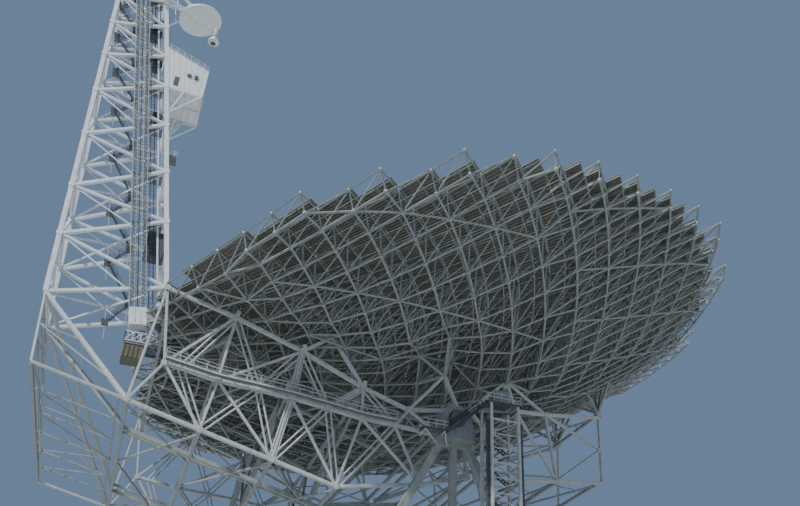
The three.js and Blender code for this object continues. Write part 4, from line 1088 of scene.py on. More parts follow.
# Nodes of the side trusses (upper chord A, middle chord B, lower chord C) and of the rear
# trusses, as x and z in metres.
TRUSS_Y = 22.0
CHORD_A = ((-39.8, 60.7), (-30.6, 58.4), (-21.3, 55.3), (-12.5, 51.6), (-5.8, 49.5), (1.7, 50.8))
CHORD_B = ((-38.2, 49.9), (-31.5, 48.8), (-26.4, 48.5), (-22.0, 48.2), (-17.1, 47.65), (-12.4, 47.05),
           (-7.7, 46.9), (-0.8, 46.4))
CHORD_C = ((-52.6, 47.0), (-41.5, 44.2), (-32.6, 41.8), (-23.5, 39.4), (-15.1, 37.1), (-3.8, 39.0),
           (3.0, 41.0))
ROD_FOOT = (-36.2, 49.55)
STRINGER_Y = 13.0
SUPPORT_LEG = (-17.4, 58.5)
YOKE_TOP = (-0.6, 55.9)
REAR_TOP = ((3.4, 51.4), (13.2, 54.9), (20.2, 56.9), (34.6, 61.8))
REAR_BOTTOM = ((4.4, 41.3), (14.2, 43.8), (22.1, 46.2), (34.2, 49.5))
REAR_MID = (34.4, 55.6)
REAR_PEAK = (11.3, 59.2)
REAR_SEAT = (REAR_TOP[3][0], REAR_TOP[3][1] + 0.9)
REAR_START_X = 3.1
REAR_RUN = 31.5
REAR_TAPER = 14.6  # how much nearer the middle the rear trusses end
LEG_NORMAL: Point = (0.0, 0.6, 0.8)  # square to the pedestal's legs

SIDES = (("near", -1), ("far", 1))
# Signs of x and y at the corners of a square, in order round it.
RING_OF_CORNERS = ((-1, -1), (-1, 1), (1, 1), (1, -1))
# Turned profiles as radius and height: the receiver can with its collar, its mouth, a wheel.
CAN_PROFILE = np.array([(0.02, -1.75), (0.62, -1.75), (0.7, -1.65), (0.7, -1.42), (1.0, -1.42),
                        (1.0, -1.26), (0.7, -1.26), (0.7, -0.6), (0.5, -0.45), (0.02, -0.45)])
CAN_MOUTH = np.array([(0.02, -1.78), (0.48, -1.78), (0.48, -1.72), (0.02, -1.72)])
WHEEL_PROFILE = np.array([(0.62, -0.3), (0.9, -0.3), (1.03, -0.33), (1.04, 0.33), (0.9, 0.3), (0.62, 0.3),
                          (0.62, 0.08), (0.3, 0.08), (0.3, 0.34), (0.04, 0.34), (0.04, -0.34),
                          (0.3, -0.34), (0.3, -0.08), (0.62, -0.08)])


def taper_y(x: float) -> float:
    """Half the distance between the rear trusses at x."""
    return TRUSS_Y - REAR_TAPER * (x - REAR_START_X) / REAR_RUN


# Where the back-up frame's legs stand on the trusses, on the far side.
SEATS = np.array([upright(SUPPORT_LEG, TRUSS_Y), upright(YOKE_TOP, TRUSS_Y),
                  upright(REAR_PEAK, taper_y(REAR_PEAK[0])), upright(REAR_SEAT, taper_y(REAR_SEAT[0]))])


def linked(chords: dict[str, Sequence[tuple[float, ...]]],
           codes: str) -> list[tuple[tuple[float, ...], ...]]:
    """Pairs of nodes from codes such as a0-b1, which name two chords and their nodes.

    Args:
        chords: the nodes of each chord under a letter.
        codes: the pairs, with spaces between them.

    Returns:
        The pairs of points.
    """
    return [tuple(chords[end[0]][int(end[1:])] for end in code.split("-")) for code in codes.split()]


@dataclass
class TippingTrusses:
    """Side trusses, rear trusses and the cross frames between them."""

    depth: float = 1.0
    inside: float = 21.45
    rod_radius: float = 0.13
    rod_gap: float = 0.34
    side_webs: str = ("a0-b0 a1-b0 a1-b1 a2-b1 a2-b3 a3-b4 a3-b5 a4-b6 a4-b7 a5-b7 c1-a0 c1-b0 c2-b0 c2-b1 "
                      "c3-b1 c3-b3 c4-b3 c4-b5 c5-b5 c5-b6 c5-b7 c6-b7")
    side_posts: str = "l0-a2 l0-a3 y0-a4 y0-a5 a5-c6"
    side_rods: str = "a1-f0 a1-b2 a2-b2 a2-b4 a3-b4 a3-b6 c2-f0 c2-b2 c3-b2 c3-b4 c4-b4 c4-b6 a2-b3 c3-b3"
    rear_webs: str = "t3-m0 m0-u3 t0-u0 t0-u1 t1-u1 t1-u2 t2-u2 t2-m0 m0-u2 t0-k0 t1-k0 t2-k0"

    def side(self) -> list[Bar]:
        """The members of the near side truss.

        Returns:
            Chords, webs, posts and the upright that carries the axle.
        """
        flat = {"a": CHORD_A, "b": CHORD_B, "c": CHORD_C, "l": [SUPPORT_LEG], "y": [YOKE_TOP]}
        chords = {key: [upright(p, -TRUSS_Y) for p in nodes] for key, nodes in flat.items()}
        lower = chords["c"]
        return (path_bars(chords["a"], 0.9, self.depth) + path_bars(chords["b"], 0.9, self.depth)
                + path_bars(lower[:2], 0.55, self.depth) + path_bars(lower[1:], 0.85, self.depth)
                + pair_bars(linked(chords, self.side_webs), 0.62, self.depth * 0.8)
                + pair_bars(linked(chords, self.side_posts), 0.85, self.depth)
                + [Bar((0.0, -TRUSS_Y, 45.35), (0.0, -TRUSS_Y, 49.75), 3.4, self.depth)])

    def rods(self, side: int) -> tuple[Array, Array]:
        """Pairs of thin rods in the truss's plane, `rod_gap` each side of the line of nodes.

        Args:
            side: -1 for the near truss, 1 for the far one.

        Returns:
            The starts and the ends.
        """
        ends = np.array(linked({"a": CHORD_A, "b": CHORD_B, "c": CHORD_C, "f": [ROD_FOOT]},
                               self.side_rods))
        run = unit(ends[:, 1] - ends[:, 0])
        off = np.stack([-run[:, 1], run[:, 0]], axis=1)[:, None] * self.rod_gap
        points = np.insert(np.concatenate([ends - off, ends + off]), 1, side * TRUSS_Y, axis=2)
        return points[:, 0], points[:, 1]

    def rear(self) -> list[Bar]:
        """The members of the near rear truss, which leans in towards its end.

        Returns:
            Chords and webs.
        """
        normal = (REAR_TAPER, -REAR_RUN, 0.0)
        flat = {"t": REAR_TOP, "u": REAR_BOTTOM, "m": [REAR_MID], "k": [REAR_PEAK]}
        chords = {key: [upright(p, -taper_y(p[0])) for p in nodes] for key, nodes in flat.items()}
        return (path_bars(chords["t"], 0.9, 0.9, normal) + path_bars(chords["u"], 0.9, 0.9, normal)
                + pair_bars(linked(chords, self.rear_webs), 0.62, 0.75, normal))

    @staticmethod
    def ladder_bars(stations: list[Point], width: float, brace: float) -> list[Bar]:
        """Cross members at several stations, braced from the middle.

        Args:
            stations: x, z and half the member's length.
            width: of the cross members.
            brace: width of the braces.

        Returns:
            The members.
        """
        bars = [Bar((x, -h, z), (x, h, z), width, width, UP) for x, z, h in stations]
        for (x, z, h), (nx, nz, nh) in zip(stations, stations[1:]):
            for side in (-1, 1):
                bars.append(Bar((x, 0.0, z), (nx, side * (nh - 1), nz), brace, brace, UP))
                bars.append(Bar((x, side * (h - 1), z), (nx, side * (nh - 1) * 0.5, nz), brace * 0.7,
                                brace * 0.7, UP))
        return bars

    def walkway(self) -> Steelwork:
        """The walkway outside the near side truss: grating deck, kerbs and handrails.

        Returns:
            The walkway.
        """
        line = np.array([upright(p, -TRUSS_Y - self.depth / 2 - 0.42) for p in CHORD_B[:7]]) + [0, 0, 0.3]
        steel = Steelwork().use(GRATING)
        steel.chain(line, box_outline(0.14, 0.8, 0.02))
        steel.use(TRUSS_STEEL_PAINTED_SHADE)
        for off in (-0.38, 0.38):
            steel.chain(line + [0, off, 0.0], box_outline(0.24, 0.05, 0.01))
            handrail(steel, line + [0, off, 0.1], spacing=1.7)
        return steel

    def build(self) -> None:
        """Makes every truss and cross frame of the tipping structure."""
        side, rear = self.side(), self.rear()
        for name, sign in SIDES:
            side_bars, rear_bars = (side, rear) if sign < 0 else (mirrored(side), mirrored(rear))
            steel = Lattice(side_bars, slim=0.54).lay(Steelwork())
            steel.rods(*self.rods(sign), self.rod_radius, 6)
            for x, z in CHORD_A[1:4]:
                steel.bars([x, sign * TRUSS_Y, z - 0.2], [x + 0.2, sign * TRUSS_Y, z + 1.0], 0.6, 0.6,
                           0.1)
            steel.piece(f"side_truss_frame_{name}", f"side_truss_{name}")
            steel = Lattice(rear_bars).lay(Steelwork())
            for x, z in (REAR_PEAK, REAR_SEAT):
                y = sign * taper_y(x)
                steel.bars([x, y, z - 1.0], [x, y, z], 1.1, 1.1, 0.1)
            steel.piece(f"rear_truss_frame_{name}", f"rear_truss_{name}")
        box = {"roof_frame": ((-39.2, 57.4), (-30.95, 55.8), (-21.2, 54.0), (-12.4, 51.2), (-5.8, 49.4),
                              (1.2, 50.6)),
               "floor_frame": (*CHORD_C[1:6], (2.6, 40.9))}
        rear_box = {"rear_roof_frame": ((3.9, 51.6), *REAR_TOP[1:3], (33.4, 61.4)),
                    "rear_floor_frame": ((5.0, 41.5), *REAR_BOTTOM[1:3], (33.0, 49.2))}
        frames = {node: self.ladder_bars([(x, z, self.inside) for x, z in nodes], 0.8, 0.55)
                  for node, nodes in box.items()}
        frames |= {node: self.ladder_bars([(x, z, taper_y(x) - 0.55) for x, z in nodes], 0.7, 0.5)
                   for node, nodes in rear_box.items()}
        for sign in (-1, 1):
            line = [upright(p, sign * STRINGER_Y) for p in CHORD_C[1:6]]
            frames["floor_frame"] += path_bars(line, 0.75, 1.0, UP)
        # The frames under the box take the frame steel, darkened as painted shade.
        for node, bars in frames.items():
            Lattice(bars, FRAME_STEEL_PAINTED_SHADE).piece(f"{node}_bracing", node)
        Lattice(self.elbow(), FRAME_STEEL_PAINTED_SHADE, slim=0.42).piece("elbow_frame_bracing", "elbow_frame")
        self.walkway().piece("side_walkway", "walkway_near")
        self.inner_bracing().piece("box_cross_bracing")

    @staticmethod
    def inner_bracing() -> Steelwork:
        """Sway frames inside the box: from chord C up to chord A and across.

        Returns:
            The bracing.
        """
        steel = Steelwork().use(FRAME_STEEL_PAINTED_SHADE)
        wide, narrow = 20.8, 9.0
        for (ax, az), (cx, cz) in zip(CHORD_A[1:4], CHORD_C[2:5]):
            for side in (-1, 1):
                starts = [(cx, 0.0, cz + 0.4), (cx, 0.0, cz + 0.4), (cx, side * wide, cz + 0.3)]
                inner = (ax, side * narrow, az - 1.2)
                steel.bars(starts, [(ax, side * wide, az - 0.9), inner, inner], 0.4, 0.4, 0.05, ALONG)
        for side in (-1, 1):
            inner = [(x, side * narrow, z - 1.2) for x, z in CHORD_A[1:5]]
            outer = [(x, side * 11.0, z + 0.3) for x, z in CHORD_C[1:6]]
            steel.chain(inner, box_outline(0.45, 0.45, 0.05))
            steel.chain(outer, box_outline(0.4, 0.4, 0.05))
        return steel

    def elbow(self) -> list[Bar]:
        """Five long members and four diagonals that fan in below the foot of the feed arm.

        Returns:
            The members with the cross beams at their ends.
        """
        (ox, oz), (ix, iz) = CHORD_C[0], CHORD_C[1]
        ex, ez = ix - 1.0, iz + (oz - iz) / (ix - ox)
        bars = [Bar((x, -self.inside, z), (x, self.inside, z), size, size, UP)
                for x, z, size in ((ox, oz, 0.9), (ex, ez, 0.6))]
        bay = 2 * TRUSS_Y / 6
        for i in range(1, 6):
            y = i * bay - TRUSS_Y
            bars.append(Bar((ox, y, oz), (ex, y, ez), 0.6, 0.6, UP))
            if i != 3:
                bars.append(Bar((ox, y, oz), (ex, y + (bay if i < 3 else -bay), ez), 0.4, 0.4, UP))
        return bars


@dataclass
class FeedArm:
    """The tower beside the dish, with its stairs, lift, receiver room and subreflector."""

    outer_levels: tuple[float, ...] = (65.8, 76.3, 85.8, 96.9, 107.0, 116.0, 124.5, 132.5, 140.5)
    inner_levels: tuple[float, ...] = (70.7, 83.1, 93.3, 103.6, 112.6, 120.0, 127.6, 134.6, 140.5)
    outer_foot_x: float = -55.8
    inner_foot_x: float = -40.1
    foot_half: float = 5.6
    outer_slope: float = 0.0568
    inner_slope: float = 0.1799
    side_slope: float = 0.0405
    chord: float = 0.78
    brace: float = 0.5
    brace_inset: float = 0.35
    stair_half: float = 0.35
    stair_turn: float = 0.36  # share of a bay that the lower flight climbs
    tread_rise: float = 0.3
    riser_span: tuple[float, float] = (66.0, 139.5)
    mast_span: tuple[float, float] = (58.6, 139.2)
    mast_offset: float = 4.2
    car_foot: float = 61.8
    car_size: Point = (2.36, 1.86, 2.85)
    landing_at: float = 58.5
    balustrade: float = 1.5
    room_floor: float = 112.3
    room_top: float = 121.9
    room_front: tuple[tuple[float, float], ...] = ((-41.5, 112.3), (-41.4, 118.9))  # foot and eaves
    room_half: float = 4.05
    dish_radius: float = 4.0
    dish_depth: float = 1.1
    dish_skin: float = 0.35
    dish_tilt_deg: float = -15.0
    dish_centre: Point = (-45.1, 0.0, 135.6)

    @property
    def lean(self) -> Point:
        """The direction square to the near face, which leans in."""
        return (0.0, 1.0, -self.side_slope)

    def outer_x(self, z: float) -> float:
        """The x of the outer chords at a height."""
        return self.outer_foot_x - (z - self.outer_levels[0]) * self.outer_slope

    def inner_x(self, z: float) -> float:
        """The x of the inner chords at a height."""
        return self.inner_foot_x - (z - self.inner_levels[0]) * self.inner_slope

    def half(self, z: float) -> float:
        """Half the tower's width at a height."""
        return self.foot_half - (z - self.outer_levels[0]) * self.side_slope

    def outer(self, z: float, side: int = -1, inset: float = 0.0) -> Point:
        """A point of an outer chord, or `inset` nearer the tower's middle plane."""
        return (self.outer_x(z), side * (self.half(z) - inset), z)

    def inner(self, z: float, side: int = -1, inset: float = 0.0) -> Point:
        """A point of an inner chord, or `inset` nearer the tower's middle plane."""
        return (self.inner_x(z), side * (self.half(z) - inset), z)

    def face(self) -> list[Bar]:
        """The near face: chords, sloping cross members and two diagonals a bay.

        Returns:
            Its members.
        """
        outer = [self.outer(z) for z in self.outer_levels]
        inner = [self.inner(z) for z in self.inner_levels]
        bars = [b for line in (outer, inner) for b in path_bars(line, self.chord, self.chord, self.lean)]
        for i, (o, n) in enumerate(zip(outer, inner)):
            bars.append(Bar(o, n, self.brace + 0.1, 0.6, self.lean))
            if i:
                bars.append(Bar(o, inner[i - 1], self.brace, 0.55, self.lean))
                bars.append(Bar(o, lerp(outer[i - 1], inner[i - 1], 0.66), 0.24, 0.24, self.lean))
        return bars

    def end(self, levels: tuple[float, ...], place: Callable[..., Point], slope: float) -> list[Bar]:
        """Cross members and diagonals between the chords at one end of the plan.

        Args:
            levels: heights of the cross members.
            place: gives a point of these chords from a height, a side and an inset.
            slope: of the chords, for the members' normal.

        Returns:
            The members.
        """
        normal = (1.0, 0.0, slope)
        bars = []
        for i, z in enumerate(levels):
            bars.append(Bar(place(z, -1, self.brace_inset), place(z, 1, self.brace_inset), self.brace,
                            self.brace, normal))
            if i:
                side = 1 if i % 2 else -1
                start = place(levels[i - 1], side, self.brace_inset)
                stop = place(z, -side, self.brace_inset)
                bars.append(Bar(start, stop, self.brace, self.brace, normal))
                bars.append(Bar(place(levels[i - 1], -side, self.brace_inset), lerp(start, stop, 0.5),
                                0.26, 0.26, normal))
        return bars

    def build_tower(self) -> None:
        """Makes the tower's four faces and what stands inside them."""
        near = self.face()
        outer = self.end(self.outer_levels, self.outer, self.outer_slope)
        inner = self.end(self.inner_levels, self.inner, self.inner_slope)
        for name, bars, gusset, slim in (("near", near, 0.66, 0.92), ("far", mirrored(near), 0.66, 0.92),
                                         ("outer", outer, 0.0, 0.9), ("inner", inner, 0.0, 0.9)):
            Lattice(bars, WHITE_STEEL, gusset, slim).piece(f"tower_lattice_{name}", f"tower_face_{name}")
        self.plan_bracing().piece("tower_plan_bracing")
        self.stairs().piece("tower_stairs")
        self.services().piece("tower_services")

    def plan_bracing(self) -> Steelwork:
        """Flat bracing inside the tower: four members from each level's chords to its middle.

        Returns:
            The bracing.
        """
        steel = Steelwork().use(WHITE_STEEL)
        for low, high in zip(self.outer_levels, self.inner_levels):
            middle = ((self.outer_x(low) + self.inner_x(high)) / 2, 0.0, (low + high) / 2)
            starts = [place for side in (-1, 1)
                      for place in (self.outer(low, side, 0.3), self.inner(high, side, 0.3))]
            steel.bars(starts, [middle] * 4, 0.28, 0.28, 0.04, UP)
        return steel

    def stairs(self) -> Steelwork:
        """Zigzag stairs up the middle of the tower: two flights and a landing a bay.

        Returns:
            The stairs with their landings and ties.
        """
        steel = Steelwork()
        for low, high in zip(self.outer_levels, self.outer_levels[1:]):
            turn = low + (high - low) * self.stair_turn
            left, right = self.inner_x(low) - 8.4, self.inner_x(turn) - 5.2
            top = self.inner_x(high) - 8.4
            for a, b in (((left, 0.5, low), (right, 0.5, turn)),
                         ((right, -0.5, turn), (top, -0.5, high))):
                # The flights are darkened as painted shade.
                steel.use(STAIR_STEEL)
                count = max(int(abs(b[2] - a[2]) / self.tread_rise), 2)
                flight(steel, a, b, self.stair_half, count, (0.16, 0.06), (0.03, 0.14))
                for side in (-self.stair_half, self.stair_half):
                    handrail(steel, np.array([a, b]) + [0, side, 0], spacing=1.6, radius=0.03)
            for x, z in ((left, low), (right, turn)):
                steel.use(GRATING).block((x - 0.5, -1.2, z - 0.08), (x + 0.5, 1.2, z), 0.02)
                steel.use(WHITE_STEEL)
                for side in (-1, 1):
                    steel.bars((x, side * 1.2, z - 0.16), (x, side * (self.half(z) - 0.3), z - 0.16),
                               0.14, 0.14, 0.02, UP)
        return steel

    def _riser(self, offset: float, inset: float, z: float) -> Array:
        """A place `offset` in from the inner chords and `inset` in from the near face."""
        return np.array([self.inner_x(z) - offset, -self.half(z) + inset, z])

    def services(self) -> Steelwork:
        """Cable ladders, cabinets and working platforms between the mast and the inner chord.

        Returns:
            All of them.
        """
        steel = Steelwork().use(WHITE_STEEL)
        low, high = self.riser_span
        steel.bars(self._riser(1.3, 0.9, low), self._riser(1.3, 0.9, high), 0.3, 0.3, 0.03)
        steel.use(GREY_STEEL)
        ladder(steel, self._riser(2.2, 0.9, low), self._riser(2.2, 0.9, high), 0.6, ACROSS, 0.8)
        steel.use(CABLE_RUBBER)
        for offset in (1.9, 2.5):
            steel.rods(self._riser(offset, 0.82, low), self._riser(offset, 0.82, high), 0.06, 5)
        steel.use(DARK_STEEL)
        for z, height, width in ((76.6, 4.6, 1.5), (104.6, 2.2, 0.8), (118.2, 2.2, 0.7),
                                 (126.0, 4.2, 0.9)):
            x, y = self.inner_x(z + height / 2) - 1.5, -self.half(z) + 1.0
            steel.block((x - width, y, z), (x + width, y + 2.2, z + height), 0.08)
            for rib in x + np.linspace(-width + 0.2, width - 0.2, 4):
                steel.bars([rib, y - 0.02, z + 0.1], [rib, y - 0.02, z + height - 0.1], 0.07, 0.07)
        for z in self.inner_levels[1:]:
            x, y = self.inner_x(z), -self.half(z) + 0.5
            steel.use(GRATING).block((x - 3.2, y, z - 0.12), (x - 0.5, -0.4, z), 0.02)
            steel.use(WHITE_STEEL)
            handrail(steel, np.array([[x - 3.2, y + 0.05, z], [x - 0.5, y + 0.05, z]]), spacing=0.9)
        # A small balcony outside the inner chords.
        z = 97.5
        x = self.inner_x(z) + 0.45
        steel.use(GRATING).block((x, -3.9, z - 0.12), (x + 1.3, -1.4, z), 0.02)
        steel.use(WHITE_STEEL)
        edge = [[x, -3.85, z], [x + 1.25, -3.85, z], [x + 1.25, -1.45, z], [x, -1.45, z]]
        handrail(steel, np.array(edge), spacing=0.8)
        return steel

    def pedestal_side(self) -> list[Bar]:
        """The near side of the pedestal, from the tower's foot to the side truss.

        Returns:
            Its members.
        """
        top, crossed = self.outer(self.outer_levels[0]), self.outer(self.outer_levels[0], 1)
        foot, floor_node = upright(CHORD_C[0], -TRUSS_Y), upright(CHORD_C[1], -TRUSS_Y)
        stringer = (CHORD_C[1][0], -STRINGER_Y, CHORD_C[1][1] + 0.5)
        fine = [(lerp(top, foot, 0.5), lerp(top, floor_node, 0.5)),
                (lerp(top, foot, 0.5), lerp(top, floor_node, 0.84)),
                (lerp(top, floor_node, 0.5), lerp(crossed, stringer, 0.5))]
        return (pair_bars([(top, foot)], 0.36, 0.4, LEG_NORMAL)
                + pair_bars([(top, floor_node), (crossed, stringer)], 0.62, 0.7, LEG_NORMAL)
                + pair_bars(fine, 0.2, 0.2, LEG_NORMAL))

    @staticmethod
    def pedestal_end(top: Point, foot: Point) -> list[Bar]:
        """Cross bracing between the near and far lines of one end of the pedestal.

        Args:
            top: the upper end of the near line.
            foot: its lower end.

        Returns:
            The members.
        """
        stations = [lerp(top, foot, t) for t in (0.1, 0.36, 0.66, 0.93)]
        bars = []
        for i, (x, y, z) in enumerate(stations):
            half = -y - 0.45
            bars.append(Bar((x, -half, z), (x, half, z), 0.5, 0.5, ALONG))
            if i:
                px, py, pz = stations[i - 1]
                for side in (-1, 1):
                    bars.append(Bar((px, 0.0, pz), (x, side * (half - 0.5), z), 0.42, 0.42, ALONG))
                    bars.append(Bar((px, side * (-py - 0.5), pz), (x, side * half * 0.5, z), 0.26, 0.26,
                                    ALONG))
        return bars

    def build_pedestal(self) -> None:
        """Makes the pedestal under the tower."""
        near = self.pedestal_side()
        ends = {"outer": (self.outer(self.outer_levels[0]), upright(CHORD_C[0], -TRUSS_Y)),
                "inner": (self.inner(self.inner_levels[0]), upright(CHORD_A[0], -TRUSS_Y))}
        leg = Bar(*ends["inner"], 0.8, 0.8, LEG_NORMAL)
        inner = [*self.pedestal_end(*ends["inner"]), leg, leg.mirrored()]
        for name, bars, finish, slim in (("near", near, TRUSS_STEEL_PAINTED_SHADE, 0.78),
                                         ("far", mirrored(near), TRUSS_STEEL_PAINTED_SHADE, 0.78),
                                         ("outer", self.pedestal_end(*ends["outer"]), FRAME_STEEL_PAINTED_SHADE, 0.42),
                                         ("inner", inner, TRUSS_STEEL_PAINTED_SHADE, 0.62)):
            Lattice(bars, finish, slim=slim).piece(f"pedestal_lattice_{name}", f"pedestal_{name}")

    def mast_point(self, z: float, across: float = 0.0, out: float = 0.0) -> Array:
        """A place on the lift's mast: `across` along x and `out` from the tower."""
        return np.array([self.inner_x(z) - self.mast_offset + across, -self.half(z) - 0.75 - out, z])

    def build_lift(self) -> None:
        """Makes the mast of two latticed posts, the car, the landing and its balustrade."""
        steel = Steelwork()
        bottom, top = self.mast_span
        heights = np.linspace(bottom, top, 101)
        for centre in (-0.8, 0.8):
            edges = (centre - 0.34, centre + 0.34)
            steel.use(MAST_STEEL)
            for across in edges:
                steel.bars(self.mast_point(bottom, across), self.mast_point(top, across), 0.15, 0.3, 0.03,
                           self.lean)
            steel.use(STAIR_STEEL)
            left, right = [np.stack([self.mast_point(z, x, 0.1) for z in heights]) for x in edges]
            steel.prisms(left[:-1], right[1:], flat_outline(0.1, 0.1), self.lean)
            steel.prisms(left, right, flat_outline(0.12, 0.12), self.lean)
        steel.use(GREY_STEEL)
        for z in np.linspace(bottom + 0.5, top - 0.5, 26):
            steel.bars(self.mast_point(z, -0.6, -0.1), self.mast_point(z, 0.6, -0.1), 0.16, 0.16, 0.02,
                       self.lean)
        for o, n in zip(self.outer_levels[1:-1], self.inner_levels[1:-1]):
            z = n + (o - n) * self.mast_offset / (self.inner_x(n) - self.outer_x(o))
            for across in (-0.9, 0.9):
                steel.bars(self.mast_point(z, across, -0.05), self.mast_point(z, across, -0.5), 0.22,
                           0.22, 0.03, UP)
        steel.use(CABLE_RUBBER).rods(self.mast_point(bottom), self.mast_point(top), 0.06, 5)
        steel.piece("lift_mast_posts", "lift_mast")
        self.build_car()
        self.build_landing()

    def build_car(self) -> None:
        """Makes the lift's cabin: clad walls with ribs, window frames and three rings."""
        width, depth, height = self.car_size
        slope = unit(np.array([-self.inner_slope, self.side_slope, 1.0]))
        low = self.mast_point(self.car_foot) - [0, 0.176 + depth / 2, 0]
        high = low + slope * height / slope[2]
        steel = Steelwork().use(CLADDING)
        steel.bars(low, high, width, depth, 0.06, self.lean)
        steel.use(WHITE_STEEL)
        for share in (0.02, 0.5, 0.97):
            at = low + (high - low) * share
            steel.bars(at - slope * 0.05, at + slope * 0.05, width + 0.06, depth + 0.02, 0.06, self.lean)
        front = np.array([0.0, -depth / 2 - 0.005, 0.0])
        for across in (-0.72, 0.0, 0.72):
            steel.bars(low + front + [across, 0, 0], high + front + [across, 0, 0], 0.07, 0.03,
                       normal=self.lean)
        steel.use(GREY_STEEL)
        for across in (-0.36, 0.36):
            for span in ((0.1, 0.44), (0.56, 0.9)):
                a, b = [low + (high - low) * share + front + [across, 0, 0] for share in span]
                steel.bars(a, b, 0.08, 0.03, normal=self.lean)
        steel.piece("lift_cabin", "lift_car", body=Body.LIFT)

    def build_landing(self) -> None:
        """Makes the landing under the lift: grating deck, trussed balustrade, pit box below."""
        steel = Steelwork()
        at = self.mast_point(self.landing_at)
        x0, x1 = at[0] - 1.9, at[0] + 4.4
        y0, y1 = at[1] - 2.9, at[1] + 0.6
        top = self.landing_at - 0.04
        beam = top - 0.24
        steel.use(GRATING).block((x0, y0, top - 0.12), (x1, y1, top), 0.02)
        steel.use(GREY_STEEL)
        for y in (y0 + 0.1, y1 - 0.1):
            steel.bars([x0, y, beam], [x1, y, beam], 0.2, 0.22, 0.02)
        for x in np.linspace(x0 + 0.1, x1 - 0.1, 5):
            steel.bars([x, y0, beam], [x, y1, beam], 0.2, 0.16, 0.02, UP)
        steel.use(WHITE_STEEL)
        rail = np.array([0.0, 0.0, self.balustrade])
        corners = [(x0, y1, top), (x0, y0, top), (x1, y0, top), (x1, y1, top)]
        for count, a, b in zip((3, 6, 3), corners, corners[1:]):
            feet = along_line(a, b, np.linspace(0, 1, count + 1))
            steel.bars(feet, feet + rail, 0.17, 0.17, 0.02)
            for lift in (rail, [0, 0, 0.08]):
                steel.bars(feet[:-1] + lift, feet[1:] + lift, 0.17, 0.17, 0.02, UP)
            steel.bars(feet[:-1] + [0, 0, 0.1], feet[1:] + rail - [0, 0, 0.05], 0.11, 0.11, normal=UP)
        for x in (at[0] - 0.9, at[0] + 0.9, x1 - 0.4):
            steel.bars([x, y1 - 0.2, top], [x + 0.5, y1 - 0.2, top + 4.6], 0.18, 0.18, 0.02)
        steel.piece("lift_landing_deck", "lift_landing")
        pit = Steelwork().use(PIT_STEEL)
        pit.block((x0 + 0.1, y0 + 0.1, top - 2.4), (x0 + 2.9, y1 - 0.5, top - 0.36), 0.08)
        for x in np.linspace(x0 + 0.3, x0 + 2.7, 5):
            pit.bars([x, y0 + 0.06, top - 2.35], [x, y0 + 0.06, top - 0.4], 0.08, 0.08)
        pit.piece("lift_landing_pit")

    def room_back(self, z: float) -> float:
        """The x of the receiver room's back wall at a height."""
        return self.inner_x(z) + 0.36

    def receiver_room(self) -> None:
        """Makes the clad receiver room on the inner chords, with its roof rail and stays."""
        floor, roof_z = self.room_floor, self.room_top
        (foot_x, _), (eaves_x, eaves_z) = self.room_front
        outline = [(self.room_back(floor), floor), *self.room_front, (self.room_back(roof_z), roof_z)]
        steel = Steelwork().use(CLADDING)
        steel.plate(np.array(outline), -self.room_half, self.room_half)
        # Corner trims, and the ribs of the cladding on the sides and the front.
        steel.use(WHITE_STEEL)
        loop = np.array([upright(p, 0.0) for p in (*outline, outline[0])])
        for side in (-1, 1):
            steel.chain(loop + [0, side * (self.room_half + 0.01), 0], box_outline(0.16, 0.1, 0.02))
            corners = [upright(p, side * (self.room_half + 0.02)) for p in outline]
            for share in np.linspace(0.12, 0.88, 6):
                steel.bars(lerp(corners[0], corners[1], share), lerp(corners[3], corners[2], share), 0.05,
                           0.05)
        for y in np.linspace(-3.2, 3.2, 5):
            steel.bars([foot_x + 0.06, y, floor + 0.1], [eaves_x + 0.04, y, eaves_z - 0.1], 0.06, 0.06,
                       normal=ALONG)
        # Joists below the floor, which is seen from the ground.
        for x in np.linspace(foot_x - 0.2, self.room_back(floor) + 0.4, 5):
            steel.bars([x, -4.0, floor - 0.1], [x, 4.0, floor - 0.1], 0.14, 0.2, normal=UP)
        for y in (-3.95, 0.0, 3.95):
            steel.bars([foot_x - 0.1, y, floor - 0.16], [self.room_back(floor), y, floor - 0.16], 0.2,
                       0.3, 0.02, UP)
        back_edge, front_edge = (self.room_back(roof_z) + 0.3, roof_z - 0.1), (foot_x, eaves_z + 0.05)
        roof = [upright(back_edge, -3.95), upright(front_edge, -3.95), upright(front_edge, 3.95),
                upright(back_edge, 3.95)]
        handrail(steel, np.array(roof), height=1.2, spacing=1.3)
        # The window is near-black as painted shade of the room behind.
        steel.use(WINDOW).block((-41.44, -2.6, 114.4), (-41.40, -0.9, 116.2), 0.0)
        # A fan, a junction box and a door on the near side.
        steel.use(DARK_STEEL).drum((-44.4, -4.1, 116.4), ACROSS, 0.42, 0.24, 20)
        steel.block((-43.5, -4.28, 115.9), (-42.9, -4.0, 116.8), 0.03)
        steel.block((-46.7, -4.12, 113.2), (-45.9, -4.0, 115.3), 0.0)
        steel.piece("receiver_cabin", "receiver_room")
        stays = Steelwork().use(WHITE_STEEL)
        for side in (-1, 1):
            chord = self.inner(106.6, side)
            start = (chord[0] + 0.2, chord[1], chord[2])
            ends = [(x, side * 4.15, floor - 0.1) for x in (-41.6, -44.6)]
            stays.bars([start] * 2, ends, 0.26, 0.26, 0.03)
            stays.bars((self.inner_x(103.6) + 0.2, 0.0, 103.6), (-44.0, side * 3.9, floor - 0.2), 0.26,
                       0.26, 0.03)
        stays.piece("receiver_room_stays")

    def dish_height(self, radius: Array) -> Array:
        """The height of the subreflector's face: depth (1 - (r / R)^2)."""
        return self.dish_depth * (1 - (radius / self.dish_radius) ** 2)

